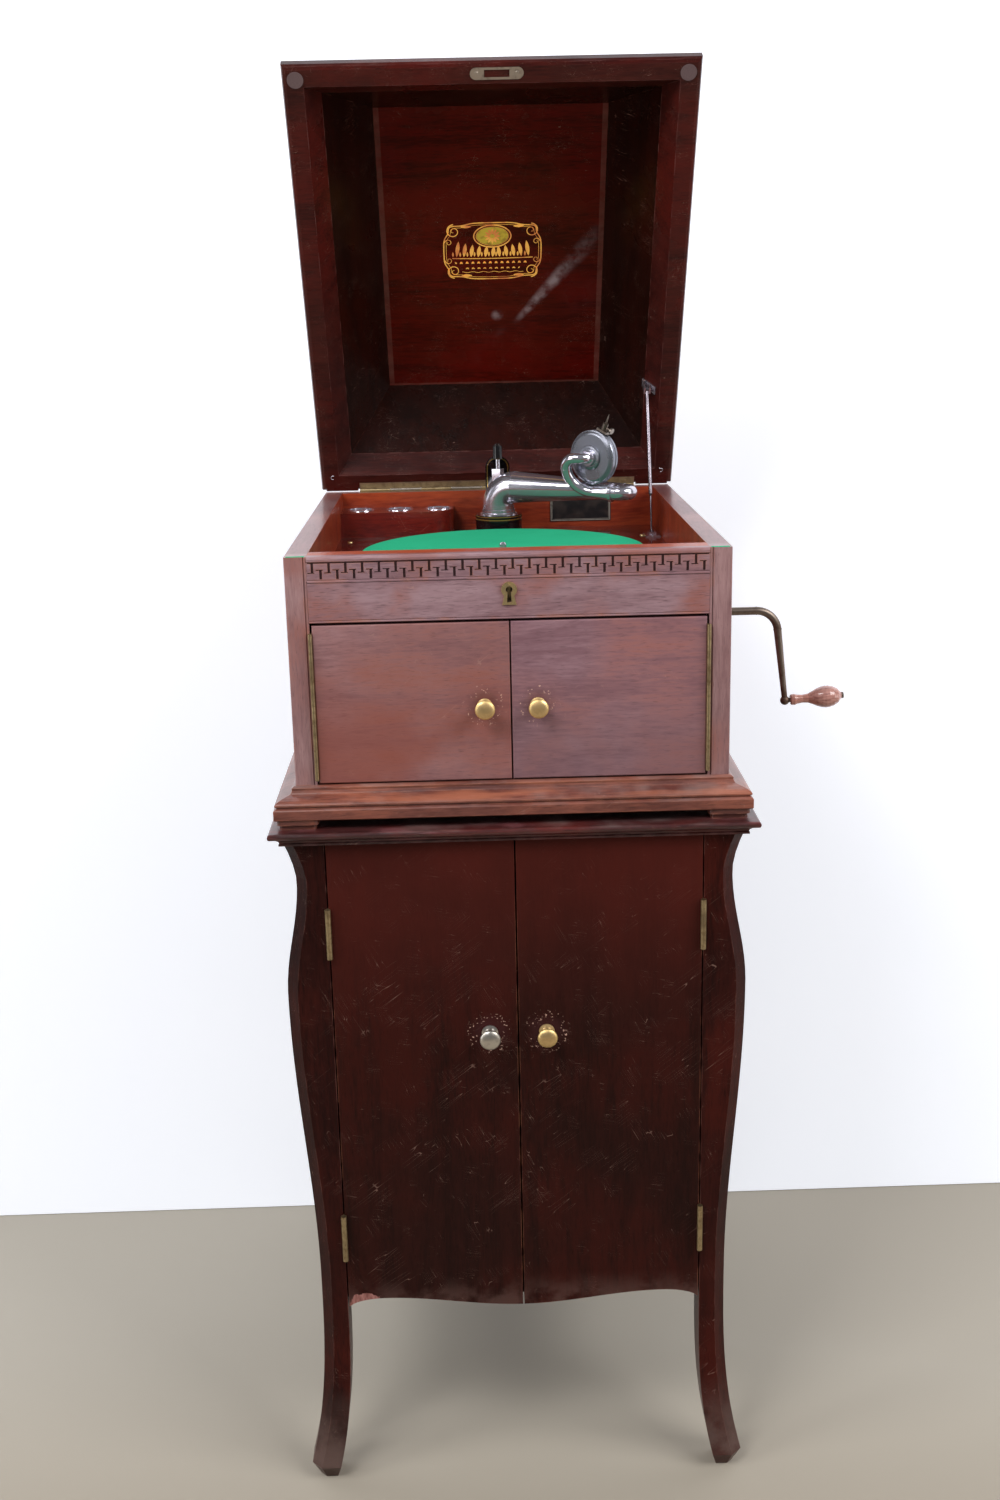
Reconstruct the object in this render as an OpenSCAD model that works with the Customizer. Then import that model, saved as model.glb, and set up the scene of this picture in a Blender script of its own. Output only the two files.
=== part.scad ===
// Table gramophone with hipped lid, standing on its record cabinet.
// X is to the right, Y to the back, Z up; the doors face -Y.
// The origin is on the floor, under the middle of the record cabinet.
// It is drawn as it stands in use: lid up, doors shut, crank hanging down.

/* [Record cabinet] */
// Width over the top board
stand_w = 474; // [460:1:500]
// Depth over the top board
stand_d = 548; // [540:1:580]
// Height of the top board above the floor
stand_h = 732; // [700:1:780]
// Thickness of the moulded top board
top_t = 15; // [13:0.5:18]
// Inset of the leg tops from the edge of the top board
leg_inset = 11; // [8:1:14]
// How far the neck, under the top board, draws in
neck_in = 12; // [8:1:15]
// Height of the knee above the floor
knee_z = 556; // [520:1:580]
// Inset of the knee from the edge of the top board
knee_inset = 8; // [6:1:12]
// Inset of the ankle from the edge of the top board
ankle_inset = 25; // [22:1:28]
// Height at which the toe starts to turn out
ankle_z = 230; // [200:1:260]
// How far the toe turns out
toe_out = 19; // [12:1:22]
// Distance from the inner face of a leg to the edge of the top board
leg_in = 52.5; // [48:0.5:56]
// Width of the flat worked on the outer corner of a leg
corner_flat = 11; // [4:1:14]
// Thickness of a record cabinet door
stand_door_t = 18; // [15:1:20]
// Height of the lowest points of the shaped door bottoms
stand_door_z = 201; // [190:1:215]
// Rise of the shaped door bottoms
scallop_rise = 12; // [6:1:16]
// Height of the record shelf
shelf_z = 572; // [560:1:600]
// Number of upright record dividers under the shelf
divider_count = 3; // [2:1:5]

/* [Case] */
// Width of the case
case_w = 420; // [414:1:426]
// Depth of the case
case_d = 514; // [508:1:518]
// Height of the case from the base moulding to its rim
case_h = 221.5; // [218:0.5:226]
// Set-back of the case front from the front of the top board
case_back_set = 32; // [28:1:36]
// Height of the base moulding
base_h = 29.5; // [26:0.5:34]
// Projection of the base moulding
base_out = 21; // [18:1:24]
// Height of the foot pads
pad_h = 10; // [8:0.5:12]
// Size of a square foot pad
pad_w = 41; // [34:1:46]
// Thickness of the case sides
side_t = 21; // [20:0.5:22]
// Depth of the top rail behind the fret
rail_t = 32; // [28:1:36]
// Height of the fretted top rail
rail_h = 25; // [23:0.5:27]
// Height of the rail that holds the lock
key_rail_h = 38; // [34:1:42]
// Number of key turns in the fret
fret_count = 24; // [16:1:28]
// Depth that the fret is cut
fret_cut = 1.2; // [0.6:0.1:2]
// Thickness of the case doors
door_t = 16; // [14:1:18]
// Gap all round a door
door_gap = 1.4; // [1:0.1:2]
// Depth of the motor board below the rim
board_drop = 47; // [45:0.5:50]
// Thickness of the motor board
board_t = 10; // [8:1:12]

/* [Lid] */
// Overhang of the lid past each side of the case
lid_over = 5; // [2:0.5:6]
// Overhang of the lid past the front of the case
lid_lip = 5; // [1:1:8]
// Angle to which the lid stands open
lid_open = 61.8; // [40:0.1:65]
// Width of the rim face of the lid
lid_rim_w = 22; // [19:1:24]
// Height of the upright edge of the lid
lid_rim_h = 15; // [12:1:18]
// Inside depth of the lid
lid_depth = 100; // [99:1:104]
// Distance from the lid edge to its flat inner panel
lid_inset = 86; // [84:1:90]
// Thickness of the sloping walls and of the top panel
lid_t = 9; // [7:1:11]

/* [Tone arm and turntable] */
// Radius of the turntable
turn_r = 152.5; // [145:0.5:153]
// Distance of the tone arm pivot in front of the rear wall
arm_clear = 56; // [54:1:60]
// Height of the turntable felt above the motor board
turn_lift = 14; // [13:0.5:15]
// Distance of the tone arm pivot behind the turntable centre
arm_back = 200; // [198:1:202]
// Angle of the resting arm from the X axis towards the front
arm_rest = 27; // [24:1:29]
// Length of the tone arm from its pivot to its return bend
arm_len = 160; // [156:1:162]
// Radius of the tube at the foot of the arm
arm_r1 = 18.5; // [17:0.5:19]
// Radius of the tube at the end of the arm
arm_r2 = 8.5; // [7.5:0.5:9]
// Radius of the sound box
box_r = 30.7; // [28:0.1:31]
// Thickness of the sound box
box_t = 12; // [10:1:13]

/* [Crank] */
// Height of the crank shaft above the bottom of the case
crank_up = 113.5; // [112:0.5:114]
// Reach of the shaft from the case side to its bend
crank_reach = 65; // [55:1:75]
// Radius of the bend
crank_bend = 24; // [18:1:28]
// Length of the tapering arm below the bend
crank_drop = 81; // [70:1:90]
// Radius of the crank shaft
crank_r = 4.4; // [4:0.1:5]
// Length of the wooden grip
grip_len = 57; // [50:1:64]
// Largest radius of the wooden grip
grip_r = 12.2; // [10:0.1:13]

/* [Hidden] */

// What the pieces are finished in
mahogany = "#6b3a34";
dark_wood = "#4a2622";
bare_wood = "#b08058";
brass_tint = "#b8985a";
nickel_tint = "#c8c8cf";
steel_tint = "#8d8f94";
black_tint = "#1c1a1b";
green_tint = "#23a573";
iron_tint = "#4b4640";

// Shared clearances
shaft_gap = 0.05;
seat_gap = 0.3;
cut = 1;

// Record cabinet
half_w = stand_w / 2;
half_d = stand_d / 2;
top_z = stand_h - top_t;
neck_z = top_z - 41;
toe_z = 17;
flare_z = stand_door_z - 5;
sole_in = 9;
front_inset = 16;
panel_t = 12;
panel_set = 29;
leg_x = half_w - leg_in;
leg_y = half_d - leg_in;
stand_front = -(half_d - front_inset);
board_in = 16;
floor_z = stand_door_z + 30;
floor_t = 16;
shelf_t = 12;
divider_t = 8;
stand_pin_r = 2.95;
stand_door_edge = leg_x - 1.3;
stand_hinge_h = 52;
stand_hinge_z = [stand_door_z + 60, top_z - 119];
stand_knob_x = 28.5;
stand_knob_z = stand_door_z + 312;

// Case
case_x = case_w / 2;
case_front = -half_d + case_back_set;
case_back_y = case_front + case_d;
case_z = stand_h + pad_h + base_h;
rim_z = case_z + case_h;
stile_w = side_t;
stile_t = 22;
back_t = 19;
inner_x = case_x - side_t;
inner_back = case_back_y - back_t;
opening_x = case_x - stile_w;
board_z = rim_z - board_drop;
key_rail_t = 20;
door_top = rim_z - rail_h - key_rail_h - door_gap - 1;
door_bottom = case_z + door_gap;
door_edge = opening_x - 2.1;
door_pin_r = 1.95;
key_z = rim_z - 39;

// Turntable, motor and tone arm
felt_z = board_z + turn_lift;
felt_t = 2;
plate_t = 5.5;
spindle_r = 3.6;
spindle_up = 7;
spindle_tip = 2;
shaft_r = 4;
arm_y = inner_back - arm_clear;
turn_y = arm_y - arm_back;
arm_z = board_z + 57.5;
base_r = 28;
base_top = board_z + 25.5;
throat_r = 21;
elbow_r = 22;
return_r = 10;
tube_t = 1.6;
block_top = arm_z + 21;
pivot_r = 2.5;
bearing_z = block_top + 11.5;
neck_run = 23.8;
neck_r = 6.2;
neck_roll = 21;
box_turn = 75;
neck_bends = [[29, 90, 0], [13, 90, 0], [13, box_turn, 90 - neck_roll]];
neck_climb = neck_bends[0][0] + neck_bends[1][0];
neck_in_arm = 6;
flange_t = 3;
boss_t = 3;
box_gap = 0.5 + boss_t + box_t / 2;
box_x = arm_len - neck_in_arm - neck_run - neck_bends[0][0] + neck_bends[1][0]
    + neck_bends[2][0] * sin(box_turn) + box_gap * cos(box_turn);
box_up = neck_climb * cos(neck_roll);
box_y = -2 * return_r - neck_climb * sin(neck_roll)
    + neck_bends[2][0] * (1 - cos(box_turn)) + box_gap * sin(box_turn);
under_board = board_z - board_t;
plate_z = under_board - 12;
bed_z = plate_z - 58;
bed_t = 4;
idler_x = 30;
barrel_x = 72;
lever_inset = 39;
lever_set = 45;
brake_x = -inner_x + lever_inset;
speed_x = inner_x - lever_inset;
lever_y = case_front + rail_t + lever_set;
lever_r = 2.5;
governor_y = 20.3;
governor_z = bed_z + 27;

// Horn, needle cups and fittings inside the case
horn_out_z = case_z + 43.5;
horn_neck_y = case_front + 144;
horn_cheek_y = turn_y + 20;
horn_back_y = turn_y + 120;
horn_wall = 6;
cup_r = 14;
cup_depth = 12;
cup_pitch = 47;
cup_inset = 23;
cup_x = [for (i = [0:2]) -inner_x + cup_inset + i * cup_pitch];
cup_y = inner_back - 18;
needle_block_w = 135;
needle_block_d = 51;
needle_block_z = board_z + 29;
needle_corner_r = 30;

// Lid
lid_w = case_w + 2 * lid_over;
lid_l = case_d + lid_lip;
lid_half = lid_w / 2;
hinge_y = case_back_y;
hinge_z = rim_z + 1;
lid_mid_y = hinge_y - lid_l / 2;
lid_front_y = hinge_y - lid_l;
strip_x = case_x - 41.5;
leaf_t = 0.4;
knuckle_gap = 0.4;
cove_h = 9.5;
wall_run = (lid_inset - lid_rim_w) / lid_depth;
wall_shift = lid_t * sqrt(1 + wall_run * wall_run);
cove_in = lid_rim_w + wall_run * (lid_rim_h + cove_h) - wall_shift;
lid_pin_r = 2.4;

// Lid stay
stay_r = 2;
thin_r = 1;
stay_x = inner_x - 10;
stay_s = 127.5;
stay_h = 10;
stay_foot_y = hinge_y - 107;
stay_foot_z = board_z + 4;
stay_len = 125;
stay_tail = 53;
pin_y = hinge_y - stay_s * cos(lid_open) + stay_h * sin(lid_open);
pin_z = hinge_z + stay_s * sin(lid_open) + stay_h * cos(lid_open);
stay_lean = atan2(pin_y - stay_foot_y, pin_z - stay_foot_z);

// Crank
crank_z = case_z + crank_up;
crank_lean = 7;
bush_r = 9;
grip_tilt = 3.9;
ferrule_r = 5.2;
pin_r = 2.5;
pinion_r = crank_z - bed_z - bed_t - 4;

// ---------- helpers ----------

function ease(t) = (1 - cos(180 * t)) / 2;
function mix(a, b, t) = a + (b - a) * t;

// Rectangular board whose edge follows pts, a list of [inset, height] from bottom to top
module moulded_slab(w, d, pts) {
    n = len(pts);
    along_x = concat(
        [for (p = pts) [w / 2 - p[0], p[1]]],
        [for (i = [n - 1:-1:0]) [-w / 2 + pts[i][0], pts[i][1]]]);
    along_y = concat(
        [for (p = pts) [d / 2 - p[0], p[1]]],
        [for (i = [n - 1:-1:0]) [-d / 2 + pts[i][0], pts[i][1]]]);
    intersection() {
        rotate([90, 0, 0]) linear_extrude(d + 2, center = true) polygon(along_x);
        rotate([90, 0, 90]) linear_extrude(w + 2, center = true) polygon(along_y);
    }
}

// Box from one corner to the opposite one
module block(a, b) {
    translate(a) cube(b - a);
}

// Upright block with four round corners
module round_block(w, d, h, r) {
    block([-w / 2 + r, -d / 2, 0], [w / 2 - r, d / 2, h]);
    block([-w / 2, -d / 2 + r, 0], [w / 2, d / 2 - r, h]);
    for (x = [-1, 1], y = [-1, 1])
        translate([x * (w / 2 - r), y * (d / 2 - r), 0]) cylinder(r = r, h = h, $fn = 48);
}

// Copies its children to the left and to the right
module both_sides() {
    children();
    mirror([1, 0, 0]) children();
}

// Moves its children from the shut lid to the open one
module on_lid() {
    translate([0, hinge_y, hinge_z])
        rotate([-lid_open, 0, 0])
            translate([0, -hinge_y, -hinge_z]) children();
}

// Moves its children from the tone arm's own frame, arm along +X, to its resting place
module on_arm() {
    translate([0, arm_y, 0]) rotate([0, 0, -arm_rest]) children();
}

// Spur gear with straight-sided teeth; turn shifts the first tooth
module spur(teeth, h, turn = 0) {
    pitch_r = teeth / 2;
    step = 360 / teeth;
    rotate([0, 0, turn]) linear_extrude(h) polygon([for (i = [0:teeth - 1])
        for (p = [[-0.3, -0.95], [-0.13, 0.6], [0.13, 0.6], [0.3, -0.95]])
            [(pitch_r + p[1]) * cos((i + p[0]) * step), (pitch_r + p[1]) * sin((i + p[0]) * step)]]);
}

// Knuckles of a hinge on an upright pin at the origin, drawn for the right-hand side.
// The leaves reach back (+Y) between x_in and x_out. fixed picks the half with the pin.
module hinge_half(fixed, r, pin_r, z0, z1, knuckles, x_in, x_out, leaf_t, leaf_d) {
    step = (z1 - z0) / knuckles;
    leaf_x = fixed ? x_out - leaf_t : x_in;
    start = fixed ? 0 : 1;
    difference() {
        for (i = [start:2:knuckles - 1]) {
            translate([0, 0, z0 + i * step + 0.1]) cylinder(r = r, h = step - 0.2, $fn = 32);
            block([leaf_x, 0, z0 + i * step + 0.1], [leaf_x + leaf_t, r + 1, z0 + (i + 1) * step - 0.1]);
        }
        if (!fixed) translate([0, 0, z0]) cylinder(r = pin_r + shaft_gap, h = z1 - z0, $fn = 24);
    }
    block([leaf_x, r + 0.15, z0], [leaf_x + leaf_t, leaf_d, z1]);
    if (fixed) translate([0, 0, z0 + cut]) cylinder(r = pin_r, h = z1 - z0 - 2 * cut, $fn = 24);
}

// Mushroom-shaped knob, its stem towards +Y and its face towards -Y
module knob(r, reach) {
    rotate([90, 0, 0]) rotate_extrude($fn = 64) polygon(concat(
        [[0, 0], [r * 0.78, 0], [r * 0.78, 1.2], [r * 0.55, 2.2], [r * 0.45, 4],
         [r * 0.5, reach - r * 0.62], [r * 0.72, reach - r * 0.56]],
        [for (a = [-20:10:80]) [r * cos(a), reach - r * 0.42 + r * 0.42 * sin(a)]],
        [[0, reach]]));
}

// ---------- record cabinet ----------

module stand_top() {
    color(dark_wood) translate([0, 0, stand_h]) moulded_slab(stand_w, stand_d, [
        [12, -top_t], [9.5, -top_t + 0.5], [9.5, -top_t + 2.3], [10.6, -top_t + 2.8],
        [9.6, -top_t + 5], [7.4, -top_t + 6.8], [4.4, -top_t + 8], [1.4, -top_t + 8.9],
        [0.4, -5], [0, -3.6], [0, -2.4], [0.5, -1.2], [1.4, -0.4], [2.6, 0]]);
}

// Inset of a leg's outer side at height z; straight gives a front without neck or knee
function leg_side(z, straight) =
    z < ankle_z ? (straight ? front_inset : ankle_inset) -
        (straight ? toe_out * 0.8 : toe_out) * pow((ankle_z - z) / (ankle_z - toe_z), 3)
    : straight ? front_inset
    : z < knee_z ? mix(ankle_inset, knee_inset, ease((z - ankle_z) / (knee_z - ankle_z)))
    : z < neck_z ? mix(knee_inset, leg_inset + neck_in, ease((z - knee_z) / (neck_z - knee_z)))
    : leg_inset + neck_in * (1 - pow((z - neck_z) / (top_z - neck_z), 1.6));

// Inset of a leg's inner side at height z
function leg_back(z) = leg_in -
    (z < flare_z ? toe_out * 0.8 * pow((flare_z - z) / (flare_z - toe_z), 3) : 0);

leg_heights = concat([for (z = [toe_z:12:ankle_z]) z], [for (i = [1:40]) mix(ankle_z, top_z, i / 40)]);

module leg_outline(half, straight) {
    polygon(concat(
        [[half - leg_side(toe_z, straight) - sole_in, 0]],
        [for (z = leg_heights) [half - leg_side(z, straight), z]],
        [for (i = [len(leg_heights) - 1:-1:0]) [half - leg_back(leg_heights[i]), leg_heights[i]]],
        [[half - leg_back(toe_z) + sole_in / 2, 0]]));
}

// Distance from the middle to the flat on a leg's outer corner at height z
function corner_reach(z) =
    (half_w + half_d - leg_side(z, false) - leg_side(z, true) - corner_flat) / sqrt(2);

// Leg at the right rear corner
module leg() {
    far = half_w + half_d;
    intersection() {
        rotate([90, 0, 0]) linear_extrude(2 * half_d, center = true) leg_outline(half_w, false);
        rotate([90, 0, 90]) linear_extrude(2 * half_w, center = true) leg_outline(half_d, true);
        rotate([90, 0, 45]) linear_extrude(far, center = true) polygon(concat(
            [[0, 0], [corner_reach(toe_z) - sole_in, 0]],
            [for (z = leg_heights) [corner_reach(z), z]],
            [[0, top_z]]));
    }
}

module stand_legs() {
    color(dark_wood) both_sides() {
        leg();
        mirror([0, 1, 0]) leg();
    }
}

// Height of the shaped lower edge of the cabinet, x measured from its middle
function scallop(x, span) =
    let (peak = span * 0.79, a = abs(x))
    stand_door_z + scallop_rise * (a < peak ? ease(a / peak)
        : sqrt(max(0, 1 - pow((a - peak) / (span - peak), 2))));

module stand_side_panels() {
    color(dark_wood) both_sides()
        translate([half_w - panel_set - panel_t, 0, 0]) rotate([90, 0, 90]) linear_extrude(panel_t)
            polygon(concat([[leg_y, top_z], [-leg_y, top_z]],
                [for (i = [-16:16]) [leg_y * i / 16, scallop(leg_y * i / 16, leg_y)]]));
}

module stand_back() {
    color(dark_wood) block([-leg_x, half_d - panel_set - panel_t, stand_door_z + 4],
        [leg_x, half_d - panel_set, top_z]);
}

// Outline of the boards inside the cabinet, between the legs, panels, doors and back
module inside_board(t) {
    block([-(half_w - panel_set - panel_t), -leg_y, 0], [half_w - panel_set - panel_t, leg_y, t]);
    block([-leg_x, stand_front + stand_door_t + seat_gap, 0],
        [leg_x, half_d - panel_set - panel_t, t]);
}

// Two boards, and the shaped rail under the lower one that the doors close against
module stand_shelves() {
    rail_y = stand_front + stand_door_t + seat_gap;
    color(dark_wood) {
        translate([0, 0, floor_z]) inside_board(floor_t);
        translate([0, 0, shelf_z]) inside_board(shelf_t);
        translate([0, rail_y + floor_t, 0]) rotate([90, 0, 0]) linear_extrude(floor_t)
            polygon(concat(
                [[leg_x, floor_z + floor_t / 2], [-leg_x, floor_z + floor_t / 2]],
                [for (i = [-20:20]) [leg_x * i / 20, scallop(leg_x * i / 20, leg_x) + 2]]));
    }
}

module record_dividers() {
    color(bare_wood) for (i = [1:divider_count])
        translate([mix(-leg_x, leg_x, i / (divider_count + 1)), 0, 0])
            block([-divider_t / 2, -leg_y + board_in, floor_z + floor_t],
                [divider_t / 2, leg_y + board_in / 2, shelf_z]);
}

// Right-hand door of the record cabinet
module stand_door() {
    color(dark_wood) translate([0, stand_front + stand_door_t, 0]) rotate([90, 0, 0])
        linear_extrude(stand_door_t) polygon(concat(
            [[stand_door_edge, top_z - 1.2], [0.8, top_z - 1.2]],
            [for (i = [0:40]) let (x = mix(0.8, stand_door_edge, i / 40)) [x, scallop(x, leg_x)]]));
}

module right_stand_door() {
    stand_door();
}

module left_stand_door() {
    mirror([1, 0, 0]) stand_door();
}

module stand_hinges(fixed) {
    color(brass_tint) for (z = stand_hinge_z)
        translate([leg_x - 0.5, stand_front - stand_pin_r - 0.15, 0])
            hinge_half(fixed, stand_pin_r, 1.4, z, z + stand_hinge_h, 3,
                stand_door_edge - leg_x + 0.5, 0.5, 0.6, 18);
}

module right_stand_hinges() {
    stand_hinges(false);
}

module left_stand_hinges() {
    mirror([1, 0, 0]) stand_hinges(false);
}

module right_stand_knob() {
    color(brass_tint) translate([stand_knob_x, stand_front, stand_knob_z]) knob(10, 21);
}

module left_stand_knob() {
    color(nickel_tint) translate([-stand_knob_x, stand_front, stand_knob_z]) knob(10.5, 22);
}

// ---------- case ----------

module case_feet() {
    inset = pad_w / 2 + 2;
    color(dark_wood) both_sides() for (y = [case_front - base_out + inset, case_back_y - inset])
        translate([case_x + base_out - inset, y, stand_h]) {
            round_block(pad_w - 5, pad_w - 5, pad_h * 0.4, 4);
            translate([0, 0, pad_h * 0.4]) round_block(pad_w - 7, pad_w - 7, pad_h * 0.1, 4);
            translate([0, 0, pad_h * 0.5]) round_block(pad_w, pad_w, pad_h * 0.5, 5);
        }
}

module base_moulding() {
    depth = case_d + 2 * base_out;
    color(mahogany) difference() {
        translate([0, case_front - base_out + depth / 2, stand_h + pad_h])
            moulded_slab(case_w + 2 * base_out, depth, [
                [1, 0], [0, 1], [0, 9.6], [0.8, 10.8], [2.8, 11.6], [3, 13], [1.4, 13.8],
                [1.2, 15.2], [2.4, 16.8], [5.4, 18.6], [9.4, 20.2], [base_out - 8, base_h - 8.2],
                [base_out - 5.4, base_h - 7.4], [base_out - 4.6, base_h - 6.2],
                [base_out - 3.6, base_h - 4], [base_out - 3.8, base_h - 2],
                [base_out - 2.4, base_h - 0.6], [base_out - 1, base_h]]);
        block([-case_x - base_out - cut, case_back_y, stand_h],
            [case_x + base_out + cut, case_back_y + depth, rim_z]);
        block([-inner_x, case_front + stile_t, stand_h], [inner_x, inner_back, case_z + cut]);
    }
}

module case_bottom() {
    color(bare_wood) block([-inner_x, case_front + stile_t, stand_h + pad_h + 4],
        [inner_x, inner_back, stand_h + pad_h + 14]);
}

// Sides and back, jointed at the corners
module case_walls() {
    color(mahogany) difference() {
        union() {
            both_sides() block([inner_x, case_front + stile_t, case_z], [case_x, case_back_y, rim_z]);
            block([-inner_x, inner_back, case_z], [inner_x, case_back_y, rim_z]);
        }
        translate([inner_x - cut, turn_y, crank_z]) rotate([0, 90, 0])
            cylinder(r = bush_r, h = side_t + 2 * cut, $fn = 48);
        translate([0, hinge_y, hinge_z]) rotate([0, 90, 0])
            cylinder(r = lid_pin_r + 0.4, h = 2 * strip_x + 4, center = true, $fn = 32);
    }
}

// Stile with the bead and groove worked on its inner edge
module case_stiles() {
    bead_w = 2.8;
    color(mahogany) both_sides() translate([0, case_front, case_z]) linear_extrude(case_h) polygon([
        [opening_x, stile_t], [opening_x, 1], [opening_x + 0.8, 0.2], [opening_x + bead_w - 0.8, 0.2],
        [opening_x + bead_w, 1.6], [opening_x + bead_w + 0.8, 0], [case_x - 1, 0],
        [case_x, 1], [case_x, stile_t]]);
}

// One key turn of the fret: two upright cuts with a short bar at each inner end
module key_turn(pitch, h) {
    slot_w = 2.4;
    slot_h = h * 0.62;
    bar_w = 0.9;
    bar_l = pitch * 0.42;
    translate([-slot_w / 2, h - slot_h]) square([slot_w, slot_h]);
    translate([-slot_w / 2 - bar_l * 0.5, h - slot_h]) square([bar_l, bar_w]);
    translate([pitch / 2 - slot_w / 2, 0]) square([slot_w, slot_h]);
    translate([pitch / 2 - slot_w / 2 - bar_l * 0.5, slot_h - bar_w]) square([bar_l, bar_w]);
}

module fretted_rail() {
    fret_z = 3.6;
    fret_h = rail_h - 10;
    pitch = 2 * (opening_x - 1.5) / fret_count;
    color(mahogany) difference() {
        translate([-opening_x, case_front + rail_t, rim_z - rail_h]) rotate([90, 0, 90])
            linear_extrude(2 * opening_x) polygon([
                [0, 0], [-rail_t + 1.4, 0], [-rail_t, 0.8], [-rail_t, 2], [-rail_t + 1.4, 2.8],
                [-rail_t + 0.8, 3.3], [-rail_t + 0.8, rail_h - 6.2], [-rail_t + 1.8, rail_h - 5.4],
                [-rail_t + 0.2, rail_h - 4.6], [-rail_t, rail_h - 2.4], [-rail_t + 0.8, rail_h - 0.8],
                [-rail_t + 2.4, rail_h], [-1, rail_h], [0, rail_h - 1]]);
        translate([0, case_front + 0.8 + fret_cut, rim_z - rail_h + fret_z]) rotate([90, 0, 0])
            linear_extrude(fret_cut + cut) {
                for (i = [0:fret_count - 1])
                    translate([-opening_x + 1.5 + (i + 0.25) * pitch, 0]) key_turn(pitch, fret_h);
                translate([-opening_x + 1, fret_h]) square([2 * opening_x - 2, 0.7]);
            }
    }
}

module keyhole(r, w, drop) {
    circle(r = r, $fn = 48);
    polygon([[-r * 0.45, 0], [r * 0.45, 0], [w / 2, -drop], [-w / 2, -drop]]);
}

module key_rail() {
    z0 = rim_z - rail_h - key_rail_h;
    color(mahogany) difference() {
        translate([-opening_x, case_front + key_rail_t, z0]) rotate([90, 0, 90])
            linear_extrude(2 * opening_x) polygon([
                [0, 0], [-key_rail_t + 1, 0], [-key_rail_t, 0.7], [-key_rail_t + 0.2, 1.6],
                [-key_rail_t + 1.2, 2.2], [-key_rail_t + 0.4, 2.8], [-key_rail_t + 0.4, key_rail_h],
                [0, key_rail_h]]);
        translate([0, case_front + key_rail_t + cut, key_z + 4]) rotate([90, 0, 0])
            linear_extrude(key_rail_t + 2 * cut) keyhole(3.2, 4.4, 12);
    }
}

// Lock behind the key rail with its keyhole plate in front
module lid_lock() {
    color(brass_tint) {
        translate([0, case_front + 0.4, key_z + 4]) rotate([90, 0, 0]) linear_extrude(1.8) difference() {
            keyhole(7.4, 13.4, 14.4);
            keyhole(3.2, 4.4, 12);
        }
        block([-26, case_front + key_rail_t, key_z - 16], [26, case_front + key_rail_t + 10, key_z + 13]);
    }
}

module case_door() {
    middle = [(door_edge + door_gap / 2) / 2, case_front + door_t, (door_top + door_bottom) / 2];
    color(mahogany) translate(middle)
        rotate([90, 0, 0]) moulded_slab(door_edge - door_gap / 2, door_top - door_bottom, [
            [0, 0], [0, door_t - 0.9], [0.3, door_t - 0.3], [1, door_t]]);
}

// Strip hinge of a case door; fixed picks the half on the stile
module door_strip(fixed) {
    color(brass_tint) translate([opening_x - 0.2, case_front - door_pin_r - 0.15, 0])
        hinge_half(fixed, door_pin_r, 0.8, door_bottom + 3.5, door_top - 7, 5, -1.9, 0.2, 0.7, 14);
}

module door_knob() {
    color(brass_tint) translate([25.5, case_front, door_bottom + 73]) knob(9.6, 20);
}

module right_door() {
    case_door();
}

module left_door() {
    mirror([1, 0, 0]) case_door();
}

module right_door_hinge() {
    door_strip(false);
}

module left_door_hinge() {
    mirror([1, 0, 0]) door_strip(false);
}

module right_door_knob() {
    door_knob();
}

module left_door_knob() {
    mirror([1, 0, 0]) door_knob();
}

// Every hinge leaf that stays on the case or on the cabinet
module fixed_hinge_leaves() {
    both_sides() {
        door_strip(true);
        stand_hinges(true);
    }
    color(nickel_tint) lid_strip(true);
}

// ---------- inside the case ----------

module motor_board() {
    color(mahogany) difference() {
        block([-inner_x, case_front + rail_t, board_z - board_t], [inner_x, inner_back, board_z]);
        translate([0, turn_y, 0]) cylinder(r = 7, h = rim_z, $fn = 48);
        translate([0, arm_y, 0]) cylinder(r = base_r - 2 + seat_gap, h = rim_z, $fn = 64);
        for (x = [brake_x, speed_x])
            translate([x, lever_y, 0]) cylinder(r = lever_r + shaft_gap, h = rim_z, $fn = 32);
        block([stay_x - 5, stay_foot_y - 11, 0], [stay_x + 5, stay_foot_y + 12, rim_z]);
    }
}

// Side outline of the wooden horn box, shrunk by t on every side but the mouth
module horn_side(t) {
    mouth = case_front + stile_t + 2 - (t > 0 ? cut : 0);
    polygon([[mouth, door_bottom + t], [mouth, under_board - 8 - t * 1.4],
        [horn_neck_y, bed_z - 18 - t * 1.1], [horn_back_y - t, bed_z - 22 - t],
        [horn_back_y - t, case_z + 14 + t], [horn_neck_y, door_bottom + t]]);
}

module horn_plan(t) {
    mouth = case_front + stile_t + 2 - (t > 0 ? cut : 0);
    polygon([[-inner_x + 4 + t * 1.1, mouth], [inner_x - 4 - t * 1.1, mouth],
        [115 - t * 1.1, horn_cheek_y], [40 - t, horn_back_y - t],
        [-40 + t, horn_back_y - t], [-115 + t * 1.1, horn_cheek_y]]);
}

module horn_shape(t) {
    intersection() {
        rotate([90, 0, 90]) linear_extrude(case_w, center = true) horn_side(t);
        translate([0, 0, case_z]) linear_extrude(case_h) horn_plan(t);
    }
}

// Horn box of flat boards, with a thin joint at each bend, round the back and along the cheeks
module horn_box() {
    color(bare_wood) difference() {
        horn_shape(0);
        horn_shape(horn_wall);
        for (y = [horn_neck_y, horn_cheek_y, horn_back_y - horn_wall])
            block([-case_x, y - seat_gap, case_z], [case_x, y, rim_z]);
        translate([0, 0, case_z]) linear_extrude(case_h) difference() {
            horn_plan(horn_wall);
            horn_plan(horn_wall + seat_gap);
        }
        translate([0, turn_y + 100, horn_out_z]) rotate([-90, 0, 0]) cylinder(r = throat_r, h = 30, $fn = 64);
    }
}

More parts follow.
